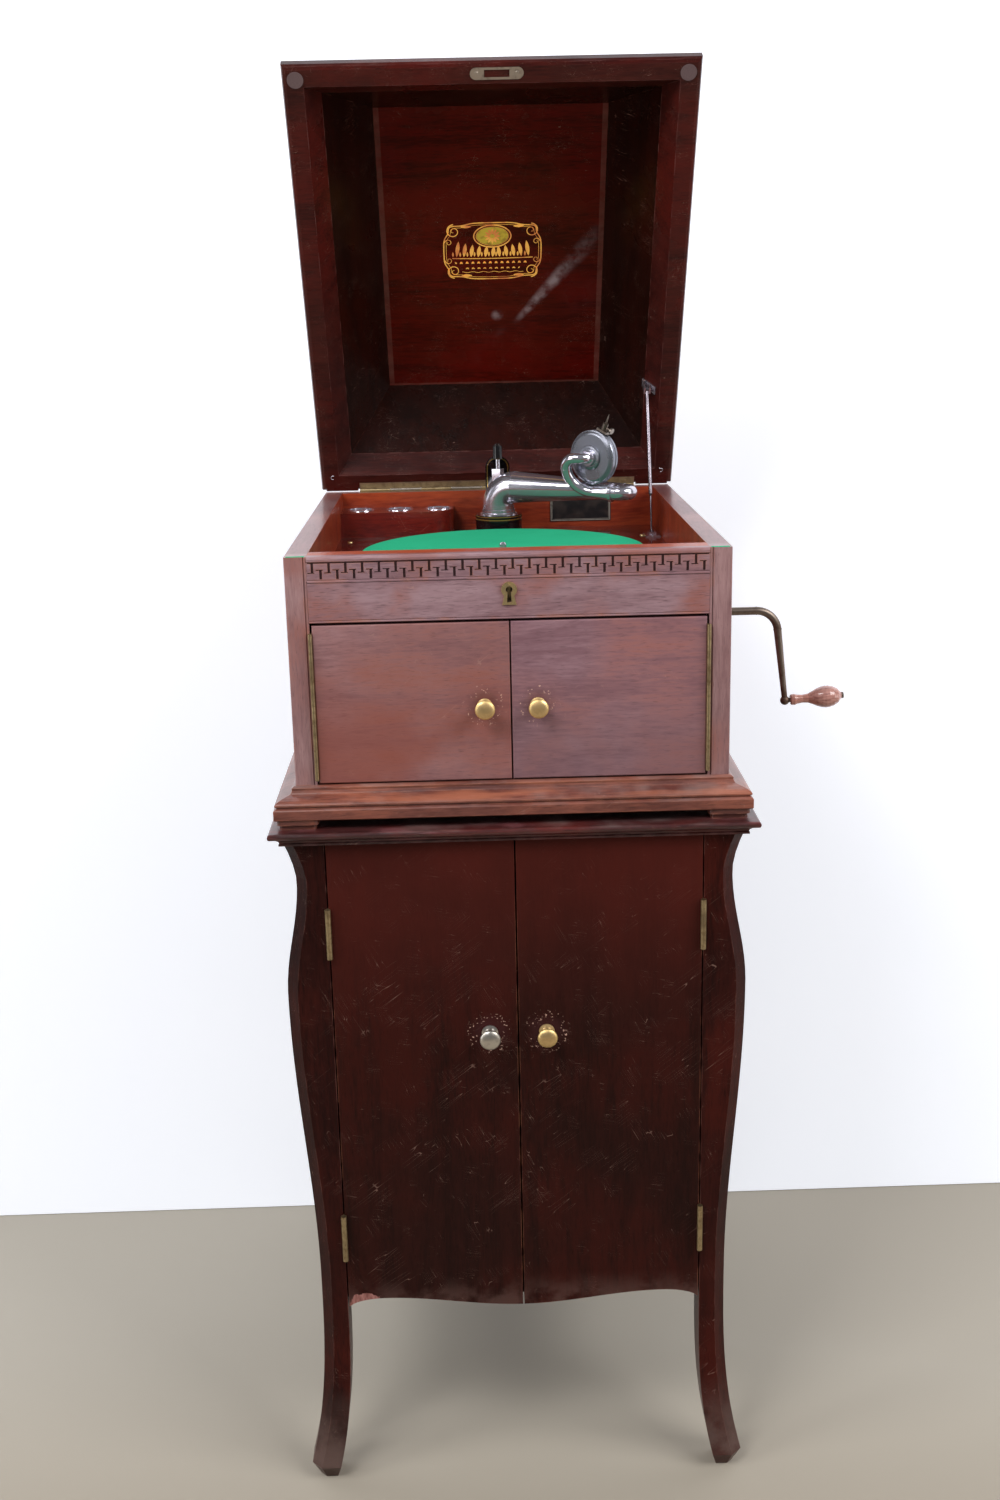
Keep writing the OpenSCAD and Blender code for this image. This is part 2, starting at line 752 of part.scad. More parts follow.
// Cast elbow that leads from the tone arm down and forward into the horn
module horn_throat() {
    wall_r = base_r - 2;
    bend = 40;
    color(iron_tint) difference() {
        union() {
            translate([0, arm_y, horn_out_z + bend])
                cylinder(r = wall_r, h = board_z - horn_out_z - bend, $fn = 64);
            translate([0, arm_y, under_board - 5]) cylinder(r = 36, h = 5, $fn = 64);
            translate([0, arm_y - bend, horn_out_z + bend]) rotate([90, 0, 90]) rotate([0, 0, -90])
                rotate_extrude(angle = 90, $fn = 96) translate([bend, 0]) circle(r = wall_r, $fn = 64);
            translate([0, horn_back_y, horn_out_z]) rotate([-90, 0, 0])
                cylinder(r = wall_r, h = arm_y - bend - turn_y - 120, $fn = 64);
        }
        translate([0, arm_y, horn_out_z + bend]) cylinder(r = throat_r, h = board_z, $fn = 64);
        translate([0, arm_y - bend, horn_out_z + bend]) rotate([90, 0, 90]) rotate([0, 0, -90])
            rotate_extrude(angle = 90, $fn = 96) translate([bend, 0]) circle(r = throat_r, $fn = 64);
        translate([0, horn_back_y - cut, horn_out_z]) rotate([-90, 0, 0])
            cylinder(r = throat_r, h = arm_y - bend - turn_y - 120 + cut, $fn = 64);
    }
}

// Blank plate on the rear wall, held by two pins
module data_plate() {
    color(black_tint) {
        block([64, inner_back - 0.8, rim_z - 40], [138, inner_back, rim_z - 11]);
        for (x = [68, 134]) translate([x, inner_back - 0.8, rim_z - 25.5]) rotate([90, 0, 0])
            cylinder(r = 1.3, h = 0.7, $fn = 24);
    }
}

module needle_block() {
    right = -inner_x + needle_block_w;
    front = inner_back - needle_block_d;
    r = needle_corner_r;
    color(mahogany) difference() {
        union() {
            block([-inner_x, front, board_z], [right - r, inner_back, needle_block_z]);
            block([right - r - 1, front + r, board_z], [right, inner_back, needle_block_z]);
            translate([right - r, front + r, board_z])
                cylinder(r = r, h = needle_block_z - board_z, $fn = 96);
        }
        for (x = cup_x) translate([x, cup_y, needle_block_z - cup_depth - 2])
            cylinder(r = cup_r + seat_gap, h = cup_depth + 3, $fn = 64);
        block([right - 2 * r - cut, inner_back, board_z - cut],
            [right + cut, inner_back + r, needle_block_z + cut]);
    }
}

module needle_cups() {
    color(nickel_tint) for (x = cup_x) translate([x, cup_y, needle_block_z - cup_depth])
        rotate_extrude($fn = 64) polygon([[0, 0], [7, 0], [cup_r - 2, 3.5], [cup_r, 8], [cup_r, cup_depth],
            [cup_r + 2.2, cup_depth], [cup_r + 2, cup_depth + 0.8], [cup_r - 0.6, cup_depth + 0.8],
            [cup_r - 1, 8.4], [cup_r - 3, 4.6], [6.6, 1.2], [0, 1.2]]);
}

module arm_base() {
    color(black_tint) translate([0, arm_y, 0]) rotate_extrude($fn = 96) polygon([
        [throat_r, board_z], [base_r + 6, board_z], [base_r + 6, board_z + 3], [base_r + 5, board_z + 4],
        [base_r + 0.4, board_z + 4], [base_r - 0.6, board_z + 5.4], [base_r - 0.6, base_top - 8],
        [base_r, base_top - 7.4], [base_r, base_top - 5.6], [base_r - 0.8, base_top - 5],
        [base_r - 0.8, base_top - 3.6], [base_r, base_top - 3], [base_r, base_top - 0.8],
        [base_r - 0.8, base_top], [throat_r, base_top]]);
}

// Plate behind the elbow that carries the upper bearing of the arm: arched as seen from the
// front, and leaning forward at its top to stay clear of the shut lid
module arm_bracket() {
    near = base_r + 0.8;
    arch_r = 14.5;
    arch_z = board_z + 77.5;
    bend_z = board_z + 66;
    color(black_tint) difference() {
        union() {
            intersection() {
                translate([0, arm_y + 2 * base_r, 0]) rotate([90, 0, 0]) linear_extrude(2 * base_r) {
                    translate([-arch_r, board_z + 4]) square([2 * arch_r, arch_z - board_z - 4]);
                    translate([0, arch_z]) circle(r = arch_r, $fn = 64);
                }
                translate([0, arm_y, 0]) rotate([90, 0, 90]) linear_extrude(4 * arch_r, center = true)
                    polygon([[near, board_z + 4], [near + 4, board_z + 4], [near + 4, bend_z + 6],
                        [near - 15, bend_z + 36], [near - 19, bend_z + 30], [near, bend_z]]);
            }
            translate([0, arm_y, 0]) rotate([90, 0, 90]) linear_extrude(9, center = true) polygon([
                [0, bearing_z + 3], [near - 10, bearing_z - 8], [near - 4, bearing_z - 8],
                [near - 13.5, bearing_z + 10], [near - 18, bearing_z + 12], [0, bearing_z + 12]]);
            translate([0, arm_y, bearing_z]) cylinder(r = 5.5, h = 15, $fn = 48);
            translate([0, arm_y, bearing_z + 15]) cylinder(r1 = 5.5, r2 = 3, h = 3, $fn = 48);
        }
        translate([0, arm_y, bearing_z - cut]) cylinder(r = pivot_r + shaft_gap, h = 14, $fn = 32);
    }
}

// Two plates with pillars, hung under the motor board, with the bearings of the gears
module motor_frame() {
    x0 = -60;
    x1 = 130;
    y1 = 42;
    color(iron_tint) translate([0, turn_y, 0]) {
        difference() {
            union() {
                block([x0, -y1, plate_z - bed_t], [118, y1, plate_z]);
                block([x0, -y1, bed_z], [x1, y1, bed_z + bed_t]);
                for (x = [x0 + 6, 112], y = [-y1 + 6, y1 - 6])
                    translate([x, y, bed_z]) cylinder(r = 4, h = under_board - bed_z, $fn = 32);
                block([idler_x - 6, -32, bed_z + 32], [idler_x + 6, 32, bed_z + 36]);
                for (y = [-29, 29])
                    translate([idler_x, y, bed_z + 34]) cylinder(r = 3, h = plate_z - bed_z - 36, $fn = 24);
                block([123, -7, bed_z], [128, 7, crank_z + 9]);
                for (x = [-57, 15])
                    block([x, governor_y - 4, bed_z], [x + 3, governor_y + 4, governor_z + 4]);
            }
            cylinder(r = shaft_r + shaft_gap, h = 1000, $fn = 48);
            translate([idler_x, 0, 0]) cylinder(r = 3 + shaft_gap, h = 1000, $fn = 32);
            translate([barrel_x, 0, 0]) cylinder(r = shaft_r + shaft_gap, h = 1000, $fn = 48);
            translate([120, 0, crank_z]) rotate([0, 90, 0])
                cylinder(r = crank_r + shaft_gap, h = 12, $fn = 48);
            translate([-58, governor_y, governor_z]) rotate([0, 90, 0])
                cylinder(r = 2 + shaft_gap, h = 80, $fn = 24);
        }
    }
}

module governor() {
    color(brass_tint) translate([0, turn_y + governor_y, governor_z]) rotate([0, 90, 0]) {
        translate([0, 0, -56]) cylinder(r = 2, h = 73, $fn = 24);
        translate([0, 0, -8]) cylinder(r = 3.8, h = 16, $fn = 32);
        translate([0, 0, -50]) cylinder(r = 11, h = 1.6, $fn = 48);
        translate([0, 0, -50]) cylinder(r = 4, h = 6, $fn = 32);
        translate([0, 0, -20]) cylinder(r = 4, h = 6, $fn = 32);
        for (a = [0:120:240]) rotate([0, 0, a]) {
            translate([8.6, 0, -32]) sphere(r = 3.6, $fn = 32);
            translate([6.2, -1.6, -46]) cube([0.7, 3.2, 30]);
            translate([2, -1.6, -46]) cube([4.6, 3.2, 0.8]);
            translate([2, -1.6, -17]) cube([4.6, 3.2, 0.8]);
        }
    }
}

// Brass drum for the mainspring, with its great wheel
module spring_barrel() {
    color(brass_tint) translate([barrel_x, turn_y, 0]) difference() {
        union() {
            translate([0, 0, bed_z + 12]) cylinder(r = 31, h = 26, $fn = 96);
            translate([0, 0, bed_z + 38]) cylinder(r = 10, h = 3, $fn = 48);
            translate([0, 0, bed_z + 40]) spur(72, 5, 2.5);
        }
        cylinder(r = shaft_r + shaft_gap, h = 1000, $fn = 48);
    }
}

module intermediate_gear() {
    color(steel_tint) translate([idler_x, turn_y, 0]) {
        translate([0, 0, bed_z + 32.5]) cylinder(r = 3, h = plate_z - bed_z - 33, $fn = 32);
        translate([0, 0, bed_z + 40]) spur(12, 5);
        translate([0, 0, bed_z + 44]) cylinder(r = 4.2, h = 5, $fn = 32);
        translate([0, 0, bed_z + 48]) spur(48, 4, 3.75);
    }
}

// Winding shaft inside the spring barrel, with the crown wheel that the crank turns
module winding_arbor() {
    color(steel_tint) translate([barrel_x, turn_y, 0]) difference() {
        union() {
            translate([0, 0, bed_z + 0.5]) cylinder(r = shaft_r, h = plate_z - bed_z - 1, $fn = 48);
            translate([0, 0, bed_z + bed_t + 0.4]) cylinder(r = 46, h = 3.3, $fn = 128);
        }
        translate([0, 0, bed_z + bed_t + 2.8]) for (a = [0:7.5:352.5])
            rotate([0, 0, a]) translate([37, -0.9, 0]) cube([12, 1.8, 3]);
    }
}

module brake_lever() {
    reach = sqrt(brake_x * brake_x + (turn_y - lever_y) * (turn_y - lever_y)) - turn_r;
    color(nickel_tint) translate([brake_x, lever_y, board_z]) {
        translate([0, 0, -board_t]) cylinder(r = lever_r, h = board_t + 9, $fn = 32);
        cylinder(r = 7, h = 7, $fn = 48);
        rotate([0, 0, atan2(turn_y - lever_y, -brake_x)]) {
            block([0, -3.5, 3], [reach - 6, 3.5, 5.5]);
            block([reach - 10, -5, 4], [reach - 0.5, 5, 10.6]);
        }
        rotate([0, 0, -152]) block([0, -3, 2.5], [24, 3, 5]);
        rotate([0, 0, -152]) translate([24, 0, 1.5]) cylinder(r = 4.5, h = 7, $fn = 32);
    }
}

module speed_lever() {
    color(nickel_tint) translate([speed_x, lever_y, board_z]) {
        translate([0, 0, -board_t]) cylinder(r = lever_r, h = board_t + 7, $fn = 32);
        cylinder(r = 6.5, h = 4.4, $fn = 48);
        rotate([0, 0, -160]) block([0, -2.6, 1], [30, 2.6, 3]);
        rotate([0, 0, -160]) translate([30, 0, 0.5]) cylinder(r = 4.4, h = 8, $fn = 32);
    }
}

module crank_bush() {
    color(brass_tint) translate([0, turn_y, crank_z]) rotate([0, 90, 0]) rotate_extrude($fn = 64) polygon([
        [crank_r + shaft_gap, inner_x - 4], [bush_r - shaft_gap, inner_x - 4], [bush_r - shaft_gap, case_x],
        [16, case_x], [16, case_x + 1.2], [14.6, case_x + 2.2], [9.4, case_x + 2.8],
        [8, case_x + 6.4], [6.6, case_x + 7.4], [crank_r + shaft_gap, case_x + 7.4]]);
}

// Plate on the motor board whose slotted eye guides the stay rod
module stay_bracket() {
    slot = stay_r + 0.4;
    color(nickel_tint) difference() {
        union() {
            block([stay_x - 8.5, stay_foot_y - 17, board_z], [stay_x + 8.5, stay_foot_y + 18, board_z + 1.6]);
            translate([stay_x - slot - 2, stay_foot_y - 9, board_z]) cube([2 * slot + 4, 18, 5]);
        }
        block([stay_x - slot, stay_foot_y - 7, board_z - cut], [stay_x + slot, stay_foot_y + 7, board_z + 9]);
    }
}

// ---------- lid ----------

module lid_slab(pts) {
    translate([0, lid_mid_y, hinge_z]) moulded_slab(lid_w, lid_l, pts);
}

// Space inside the lid, between heights a and b above its rim
module lid_hollow(a, b) {
    lid_slab([[lid_rim_w + wall_run * a, a], [lid_rim_w + wall_run * b, b]]);
}

// Moulded rim of the lid, left square at the lower back beside the hinge
module lid_rim() {
    round_in = 4.6;
    square = round_in + 1;
    color(mahogany) on_lid() difference() {
        union() {
            lid_slab(concat([[round_in, 0], [1.4, 1.4], [0, round_in], [0, lid_rim_h - 1.6],
                [1.6, lid_rim_h], [3.4, lid_rim_h]],
                [for (a = [15:15:90]) [mix(cove_in, 3.4, cos(a)), lid_rim_h + cove_h * (1 - sin(90 - a))]]));
            both_sides() block([strip_x + 2, hinge_y - square, hinge_z],
                [lid_half - square, hinge_y, hinge_z + square]);
        }
        lid_hollow(-cut, lid_rim_h + cove_h + cut);
        translate([0, hinge_y, hinge_z]) rotate([0, 90, 0])
            cylinder(r = lid_pin_r + knuckle_gap, h = 2 * strip_x + 4, center = true, $fn = 32);
    }
}

module lid_walls() {
    z0 = lid_rim_h + cove_h;
    color(mahogany) on_lid() difference() {
        lid_slab([[lid_rim_w + wall_run * z0 - wall_shift, z0],
            [lid_inset - wall_shift, lid_depth]]);
        lid_hollow(z0 - cut, lid_depth + cut);
    }
}

module lid_top() {
    top_in = lid_inset - wall_shift;
    color(mahogany) on_lid() lid_slab([[top_in, lid_depth], [top_in + 1.2, lid_depth + 2],
        [top_in + wall_run * (lid_t - 1.5), lid_depth + lid_t - 1.5],
        [top_in + wall_run * lid_t + 1.6, lid_depth + lid_t]]);
}

// Drawn with the lid shut; fixed picks the half on the case, with the pin
module lid_strip(fixed) {
    knuckles = 9;
    step = 2 * strip_x / knuckles;
    leaf_z = fixed ? -1 : -leaf_t;
    start = fixed ? 0 : 1;
    translate([0, hinge_y, hinge_z]) {
        difference() {
            for (i = [start:2:knuckles - 1]) {
                translate([-strip_x + i * step + 0.15, 0, 0]) rotate([0, 90, 0])
                    cylinder(r = lid_pin_r, h = step - 0.3, $fn = 32);
                block([-strip_x + i * step + 0.15, -lid_pin_r - 1, leaf_z],
                    [-strip_x + (i + 1) * step - 0.15, fixed ? 0 : -1.3, leaf_z + leaf_t]);
            }
            if (!fixed) rotate([0, 90, 0]) cylinder(r = 1 + shaft_gap, h = case_w, center = true, $fn = 24);
        }
        block([-strip_x, -11.3, leaf_z], [strip_x, -lid_pin_r - 0.3, leaf_z + leaf_t]);
        if (fixed) rotate([0, 90, 0]) cylinder(r = 1, h = 2 * strip_x - 2, center = true, $fn = 24);
    }
}

module lid_hinge_leaf() {
    color(nickel_tint) on_lid() lid_strip(false);
}

module strike_plate() {
    color(brass_tint) on_lid() translate([4.6, lid_front_y + 11.5, hinge_z - 0.6]) linear_extrude(0.6)
        difference() {
            union() {
                square([42.5, 12.5], center = true);
                for (x = [-21.2, 21.2]) translate([x, 0]) circle(r = 6.25, $fn = 48);
            }
            square([26, 7.6], center = true);
        }
}

module lid_bumpers() {
    color(green_tint) on_lid() both_sides()
        translate([lid_half - 14, lid_front_y + 14.5, hinge_z - 0.8]) cylinder(r = 8.4, h = 0.8, $fn = 48);
}

// ---------- lid stay ----------

// Moves its children from the lid's inner slope to world, with the stay's pin along X
module at_stay_pin() {
    on_lid() translate([stay_x, hinge_y - stay_s, hinge_z + stay_h]) children();
}

// Two ears on the lid's inner slope with the pin of the stay between them
module stay_knuckle() {
    out = lid_half - lid_rim_w - wall_run * stay_h - stay_x;
    tilt = 90 - atan(wall_run);
    color(nickel_tint) at_stay_pin() {
        difference() {
            for (x = [-4, 2]) block([x, -4, -4], [x + 2, 4, 18]);
            translate([out, 0, 0]) rotate([0, tilt, 0]) block([-40, -10, 0], [40, 10, 40]);
        }
        translate([out, 0, 0]) rotate([0, tilt, 0]) block([-20, -5, -1.4], [5, 5, 0]);
        rotate([0, 90, 0]) cylinder(r = 1.5, h = 8, center = true, $fn = 24);
    }
}

module stay_rod() {
    color(nickel_tint) translate([stay_x, pin_y, pin_z]) rotate([180 - stay_lean, 0, 0]) {
        difference() {
            union() {
                rotate([0, 90, 0]) cylinder(r = 3.4, h = 3.4, center = true, $fn = 32);
                cylinder(r = stay_r, h = stay_len, $fn = 32);
            }
            rotate([0, 90, 0]) cylinder(r = 1.5 + shaft_gap, h = 8, center = true, $fn = 24);
        }
        translate([0, 0, stay_len]) cylinder(r1 = stay_r, r2 = thin_r, h = 3, $fn = 32);
        translate([0, 0, stay_len]) cylinder(r = thin_r, h = stay_tail + 3, $fn = 24);
        translate([0, 0, stay_len + stay_tail]) cylinder(r = 2.1, h = 4, $fn = 32);
    }
}

// ---------- tone arm ----------

// Low ring round a joint of a tube of radius r
module low_ring(r) {
    translate([0, 0, -0.6]) cylinder(r = r + 0.25, h = 1.2, $fn = 48);
}

// Round tube along a run of bends [radius, angle, roll]; starts upwards at the origin.
// A low ring covers the start of every bend.
module tube_run(steps, r, i = 0) {
    if (i < len(steps)) low_ring(r);
    if (i < len(steps)) rotate([0, 0, steps[i][2]]) {
        translate([steps[i][0], 0, 0]) rotate([0, 0, 180]) rotate([90, 0, 0])
            rotate_extrude(angle = steps[i][1], $fn = 96) translate([steps[i][0], 0]) circle(r = r, $fn = 48);
        translate([steps[i][0], 0, 0]) rotate([0, steps[i][1], 0]) translate([-steps[i][0], 0, 0])
            tube_run(steps, r, i + 1);
    }
}

// Bent tube of the arm: angle a of a ring with radius bend, wall from r_in to r
module bent_tube(bend, a, r, r_in) {
    rotate_extrude(angle = a, $fn = 64) translate([bend, 0]) difference() {
        circle(r = r, $fn = 48);
        circle(r = r_in, $fn = 48);
    }
}

// Short ring that covers a joint between two tubes
module joint_ring(r) {
    translate([0, 0, -0.8]) difference() {
        cylinder(r = r + 0.3, h = 1.6, $fn = 48);
        translate([0, 0, -cut]) cylinder(r = r - 0.8, h = 4, $fn = 48);
    }
}

module arm_elbow(r, r_in) {
    translate([elbow_r, 0, arm_z - elbow_r]) rotate([90, 0, 0]) rotate([0, 0, 90])
        bent_tube(elbow_r, 90, r, r_in);
}

module tone_arm() {
    foot = base_top;
    spigot_r = throat_r - shaft_gap;
    bore = arm_r1 - tube_t;
    taper = arm_len - elbow_r;
    color(nickel_tint) on_arm() {
        rotate_extrude($fn = 96) polygon([[bore + 0.3, foot - 9], [spigot_r, foot - 9], [spigot_r, foot],
            [base_r - 5.8, foot], [base_r - 5.8, foot + 1.6], [arm_r1 + 1.4, foot + 2.6],
            [arm_r1 + 1.4, foot + 5.4], [arm_r1 + 0.3, foot + 6.2], [arm_r1 + 0.3, arm_z - elbow_r + 0.5],
            [bore + 0.3, arm_z - elbow_r + 0.5]]);
        arm_elbow(arm_r1, bore - 0.3);
        translate([elbow_r, 0, arm_z]) rotate([0, 90, 0]) {
            joint_ring(arm_r1);
            difference() {
                cylinder(r1 = arm_r1, r2 = arm_r2, h = taper, $fn = 48);
                translate([0, 0, -0.01])
                    cylinder(r1 = bore, r2 = arm_r2 - tube_t, h = taper + 0.02, $fn = 48);
            }
            translate([0, 0, taper]) joint_ring(arm_r2);
        }
        translate([arm_len, -return_r, arm_z]) rotate([0, 0, -90])
            bent_tube(return_r, 180, arm_r2, arm_r2 - tube_t - 0.2);
        translate([arm_len - neck_in_arm, -2 * return_r, arm_z]) rotate([0, 90, 0]) {
            difference() {
                cylinder(r = arm_r2, h = neck_in_arm, $fn = 48);
                translate([0, 0, -cut]) cylinder(r = arm_r2 - tube_t, h = neck_in_arm + 2 * cut, $fn = 48);
            }
            translate([0, 0, neck_in_arm]) joint_ring(arm_r2);
        }
        difference() {
            block([-5.3, -5.3, arm_z], [5.3, 5.3, block_top]);
            translate([elbow_r, 0, arm_z - elbow_r]) rotate([90, 0, 0])
                rotate_extrude($fn = 96) translate([elbow_r, 0]) circle(r = arm_r1 - 0.8, $fn = 48);
        }
        translate([0, 0, block_top - 1]) cylinder(r = pivot_r, h = 23, $fn = 32);
    }
}

// Swivelling loop that carries the sound box
module gooseneck() {
    color(nickel_tint) on_arm() translate([arm_len - neck_in_arm, -2 * return_r, arm_z]) {
        rotate([0, 90, 0]) cylinder(r = arm_r2 - tube_t - shaft_gap, h = neck_in_arm - 0.4, $fn = 48);
        rotate([0, -90, 0]) {
            cylinder(r = arm_r2 + 2, h = 3.4, $fn = 48);
            translate([0, 0, 3.4]) cylinder(r1 = arm_r2 + 0.6, r2 = neck_r, h = neck_run - 3.4, $fn = 48);
            translate([0, 0, neck_run]) rotate([0, 0, -neck_roll]) tube_run(neck_bends, neck_r);
        }
    }
    color(nickel_tint) at_box() translate([0, 0, -box_t / 2 - boss_t - flange_t])
        cylinder(r = 9, h = flange_t, $fn = 48);
}

// Moves its children to the middle of the sound box, its back at -Z
module at_box() {
    on_arm() translate([box_x, box_y, arm_z + box_up]) rotate([0, 0, box_turn - 90])
        rotate([-90, 0, 0]) children();
}

module sound_box() {
    h = box_t / 2;
    color(nickel_tint) at_box() {
        rotate_extrude($fn = 96) polygon([
            [0, -h], [box_r - 5, -h], [box_r - 3.4, -h + 0.6], [box_r - 1.6, -h + 2],
            [box_r - 0.4, -h + 2.4], [box_r, -h + 3.2], [box_r, -h + 4.6], [box_r - 0.6, -h + 5.2],
            [box_r - 0.6, h - 4.2], [box_r, h - 3.6], [box_r, h - 1], [box_r - 0.8, h],
            [box_r - 3.6, h], [box_r - 4.4, h - 2.4], [0, h - 2.4]]);
        translate([0, 0, -h - boss_t]) rotate_extrude($fn = 64) polygon([
            [0, 0], [11, 0], [13.2, 0.6], [14, 1.6], [14, boss_t + 0.2], [0, boss_t + 0.2]]);
    }
}

// Stylus bar, needle socket with its thumbscrew, needle and the two pivot screws
module needle_arm() {
    lean = 24;
    face = box_t / 2;
    color(steel_tint) at_box() rotate([0, 0, lean]) rotate([90, 0, 0]) {
        block([-1.6, face + 0.1, -2], [1.6, face + 2, box_r + 3.2]);
        block([-1.6, face - 2.4, -1.6], [1.6, face + 1, 1.6]);
        block([-7, -2.5, box_r + 0.6], [7, face + 2, box_r + 3.2]);
        translate([0, 1.5, box_r + 2]) cylinder(r = 3.3, h = 9, $fn = 32);
        translate([0, 1.5, box_r + 10]) cylinder(r1 = 0.9, r2 = 0.9, h = 8, $fn = 24);
        translate([0, 1.5, box_r + 18]) cylinder(r1 = 0.9, r2 = 0.2, h = 4.3, $fn = 24);
        translate([0, 1.5, box_r + 6.5]) rotate([0, 90, 0]) cylinder(r = 1.1, h = 9, $fn = 24);
        translate([9, 1.5, box_r + 6.5]) rotate([0, 90, 0]) cylinder(r = 3.4, h = 2.4, $fn = 32);
    }
}

// ---------- turntable ----------

module turntable() {
    edge = felt_z - felt_t;
    color(nickel_tint) translate([0, turn_y, 0]) {
        rotate_extrude($fn = 192) polygon([
            [spindle_r + 2.4, edge - plate_t], [16, edge - plate_t], [18, edge - plate_t + 2.5],
            [turn_r - 10, edge - plate_t + 2.5], [turn_r - 8, edge - plate_t],
            [turn_r - 0.6, edge - plate_t], [turn_r, edge - plate_t + 0.8],
            [turn_r, edge - 0.6], [turn_r - 0.6, edge], [spindle_r + 2.4, edge]]);
        translate([0, 0, bed_z + 0.5]) cylinder(r = shaft_r, h = edge - plate_t - bed_z - 2, $fn = 48);
        translate([0, 0, edge - plate_t - 2]) cylinder(r = spindle_r + 2.4, h = plate_t + 2, $fn = 48);
        translate([0, 0, edge - 1])
            cylinder(r = spindle_r, h = felt_t + spindle_up - spindle_tip + 1, $fn = 48);
        translate([0, 0, felt_z + spindle_up - spindle_tip])
            cylinder(r1 = spindle_r, r2 = spindle_r - 1.4, h = spindle_tip, $fn = 48);
        translate([0, 0, bed_z + 48]) spur(12, 4);
        translate([0, 0, bed_z + 24]) cylinder(r = 16, h = 6, $fn = 96);
    }
}

module turntable_felt() {
    color(green_tint) translate([0, turn_y, felt_z - felt_t]) difference() {
        cylinder(r = turn_r - 0.5, h = felt_t, $fn = 192);
        translate([0, 0, -cut]) cylinder(r = spindle_r + 1, h = 6, $fn = 48);
    }
}

// ---------- crank ----------

// Moves its children to the crank's lower end, X outwards along the grip
module at_ferrule() {
    lean = 90 - crank_lean;
    translate([case_x + crank_reach + crank_bend * sin(lean) + crank_drop * cos(lean), turn_y,
        crank_z - crank_bend * (1 - cos(lean)) - crank_drop * sin(lean)])
        rotate([0, -grip_tilt, 0]) children();
}

module crank_arm() {
    start = 112;
    lean = 90 - crank_lean;
    color(steel_tint) {
        translate([start, turn_y, crank_z]) rotate([0, 90, 0]) {
            cylinder(r = crank_r, h = case_x + crank_reach - start, $fn = 48);
            difference() {
                cylinder(r = pinion_r, h = 8, $fn = 64);
                for (a = [0:30:330]) rotate([0, 0, a]) translate([pinion_r - 1.6, -1, -cut]) cube([4, 2, 10]);
            }
            translate([0, 0, case_x + crank_reach - start]) {
                tube_run([[crank_bend, lean, 0]], crank_r);
                translate([crank_bend, 0, 0]) rotate([0, lean, 0]) translate([-crank_bend, 0, 0]) {
                    low_ring(crank_r);
                    cylinder(r1 = crank_r, r2 = crank_r - 1.3, h = crank_drop, $fn = 48);
                }
            }
        }
        at_ferrule() {
            sphere(r = ferrule_r, $fn = 48);
            rotate([0, 90, 0]) cylinder(r = pin_r, h = grip_len + 8, $fn = 32);
            translate([grip_len + 6, 0, 0]) rotate([0, 90, 0]) cylinder(r = pin_r + 1, h = 2, $fn = 32);
        }
    }
}

module crank_grip() {
    k = grip_r / 12.2;
    pts = [[0, 4.5], [1.5, 6], [5, 6.3], [8, 5.2], [14, 4.5], [20, 5.2], [25, 7.4], [30, 9.9], [35, 11.6],
        [39, 12.2], [43, 12], [48, 10.8], [53, 8], [56, 4.5], [57, 3.6]];
    color(mahogany) at_ferrule() translate([ferrule_r + 0.5, 0, 0]) rotate([0, 90, 0])
        rotate_extrude($fn = 64) polygon(concat(
            [[pin_r + shaft_gap, 0]],
            [for (p = pts) [p[1] * k, p[0] * grip_len / 57]],
            [[pin_r + shaft_gap, grip_len]]));
}

stand_top();
stand_legs();
stand_side_panels();
stand_back();
stand_shelves();
record_dividers();
left_stand_door();
left_stand_hinges();
left_stand_knob();
right_stand_door();
right_stand_hinges();
right_stand_knob();
case_feet();
base_moulding();
case_bottom();
case_walls();
case_stiles();
fretted_rail();
key_rail();
lid_lock();
left_door();
left_door_hinge();
left_door_knob();
right_door();
right_door_hinge();
right_door_knob();
fixed_hinge_leaves();
motor_board();
horn_box();
horn_throat();
data_plate();
needle_block();
needle_cups();
arm_base();
arm_bracket();
motor_frame();
crank_bush();
stay_bracket();
lid_rim();
lid_walls();
lid_top();
lid_hinge_leaf();
strike_plate();
lid_bumpers();
stay_knuckle();
stay_rod();
tone_arm();
gooseneck();
sound_box();
needle_arm();
turntable();
turntable_felt();
intermediate_gear();
spring_barrel();
winding_arbor();
governor();
brake_lever();
speed_lever();
crank_arm();
crank_grip();
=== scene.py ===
import math
import random

import bmesh
import bpy
from mathutils import Matrix, Vector


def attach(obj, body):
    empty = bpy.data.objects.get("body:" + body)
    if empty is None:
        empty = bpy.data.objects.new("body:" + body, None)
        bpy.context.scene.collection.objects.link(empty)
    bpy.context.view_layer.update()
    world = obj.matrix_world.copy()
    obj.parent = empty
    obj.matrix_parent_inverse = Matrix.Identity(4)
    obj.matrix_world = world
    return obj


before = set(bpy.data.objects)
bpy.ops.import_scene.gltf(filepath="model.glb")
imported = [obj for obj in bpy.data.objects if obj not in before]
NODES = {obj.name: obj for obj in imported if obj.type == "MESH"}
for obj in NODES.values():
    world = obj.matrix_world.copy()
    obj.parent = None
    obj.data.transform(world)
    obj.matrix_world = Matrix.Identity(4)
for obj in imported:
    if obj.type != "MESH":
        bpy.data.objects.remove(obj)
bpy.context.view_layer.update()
rng = random.Random(7)

# ---------------------------------------------------------------- node helpers


def feed(tree, socket, value):
    """Links value if it is a socket itself, or else sets it."""
    if isinstance(value, bpy.types.NodeSocket):
        tree.links.new(value, socket)
    else:
        socket.default_value = value


def rgba(c):
    return (c[0], c[1], c[2], 1.0)


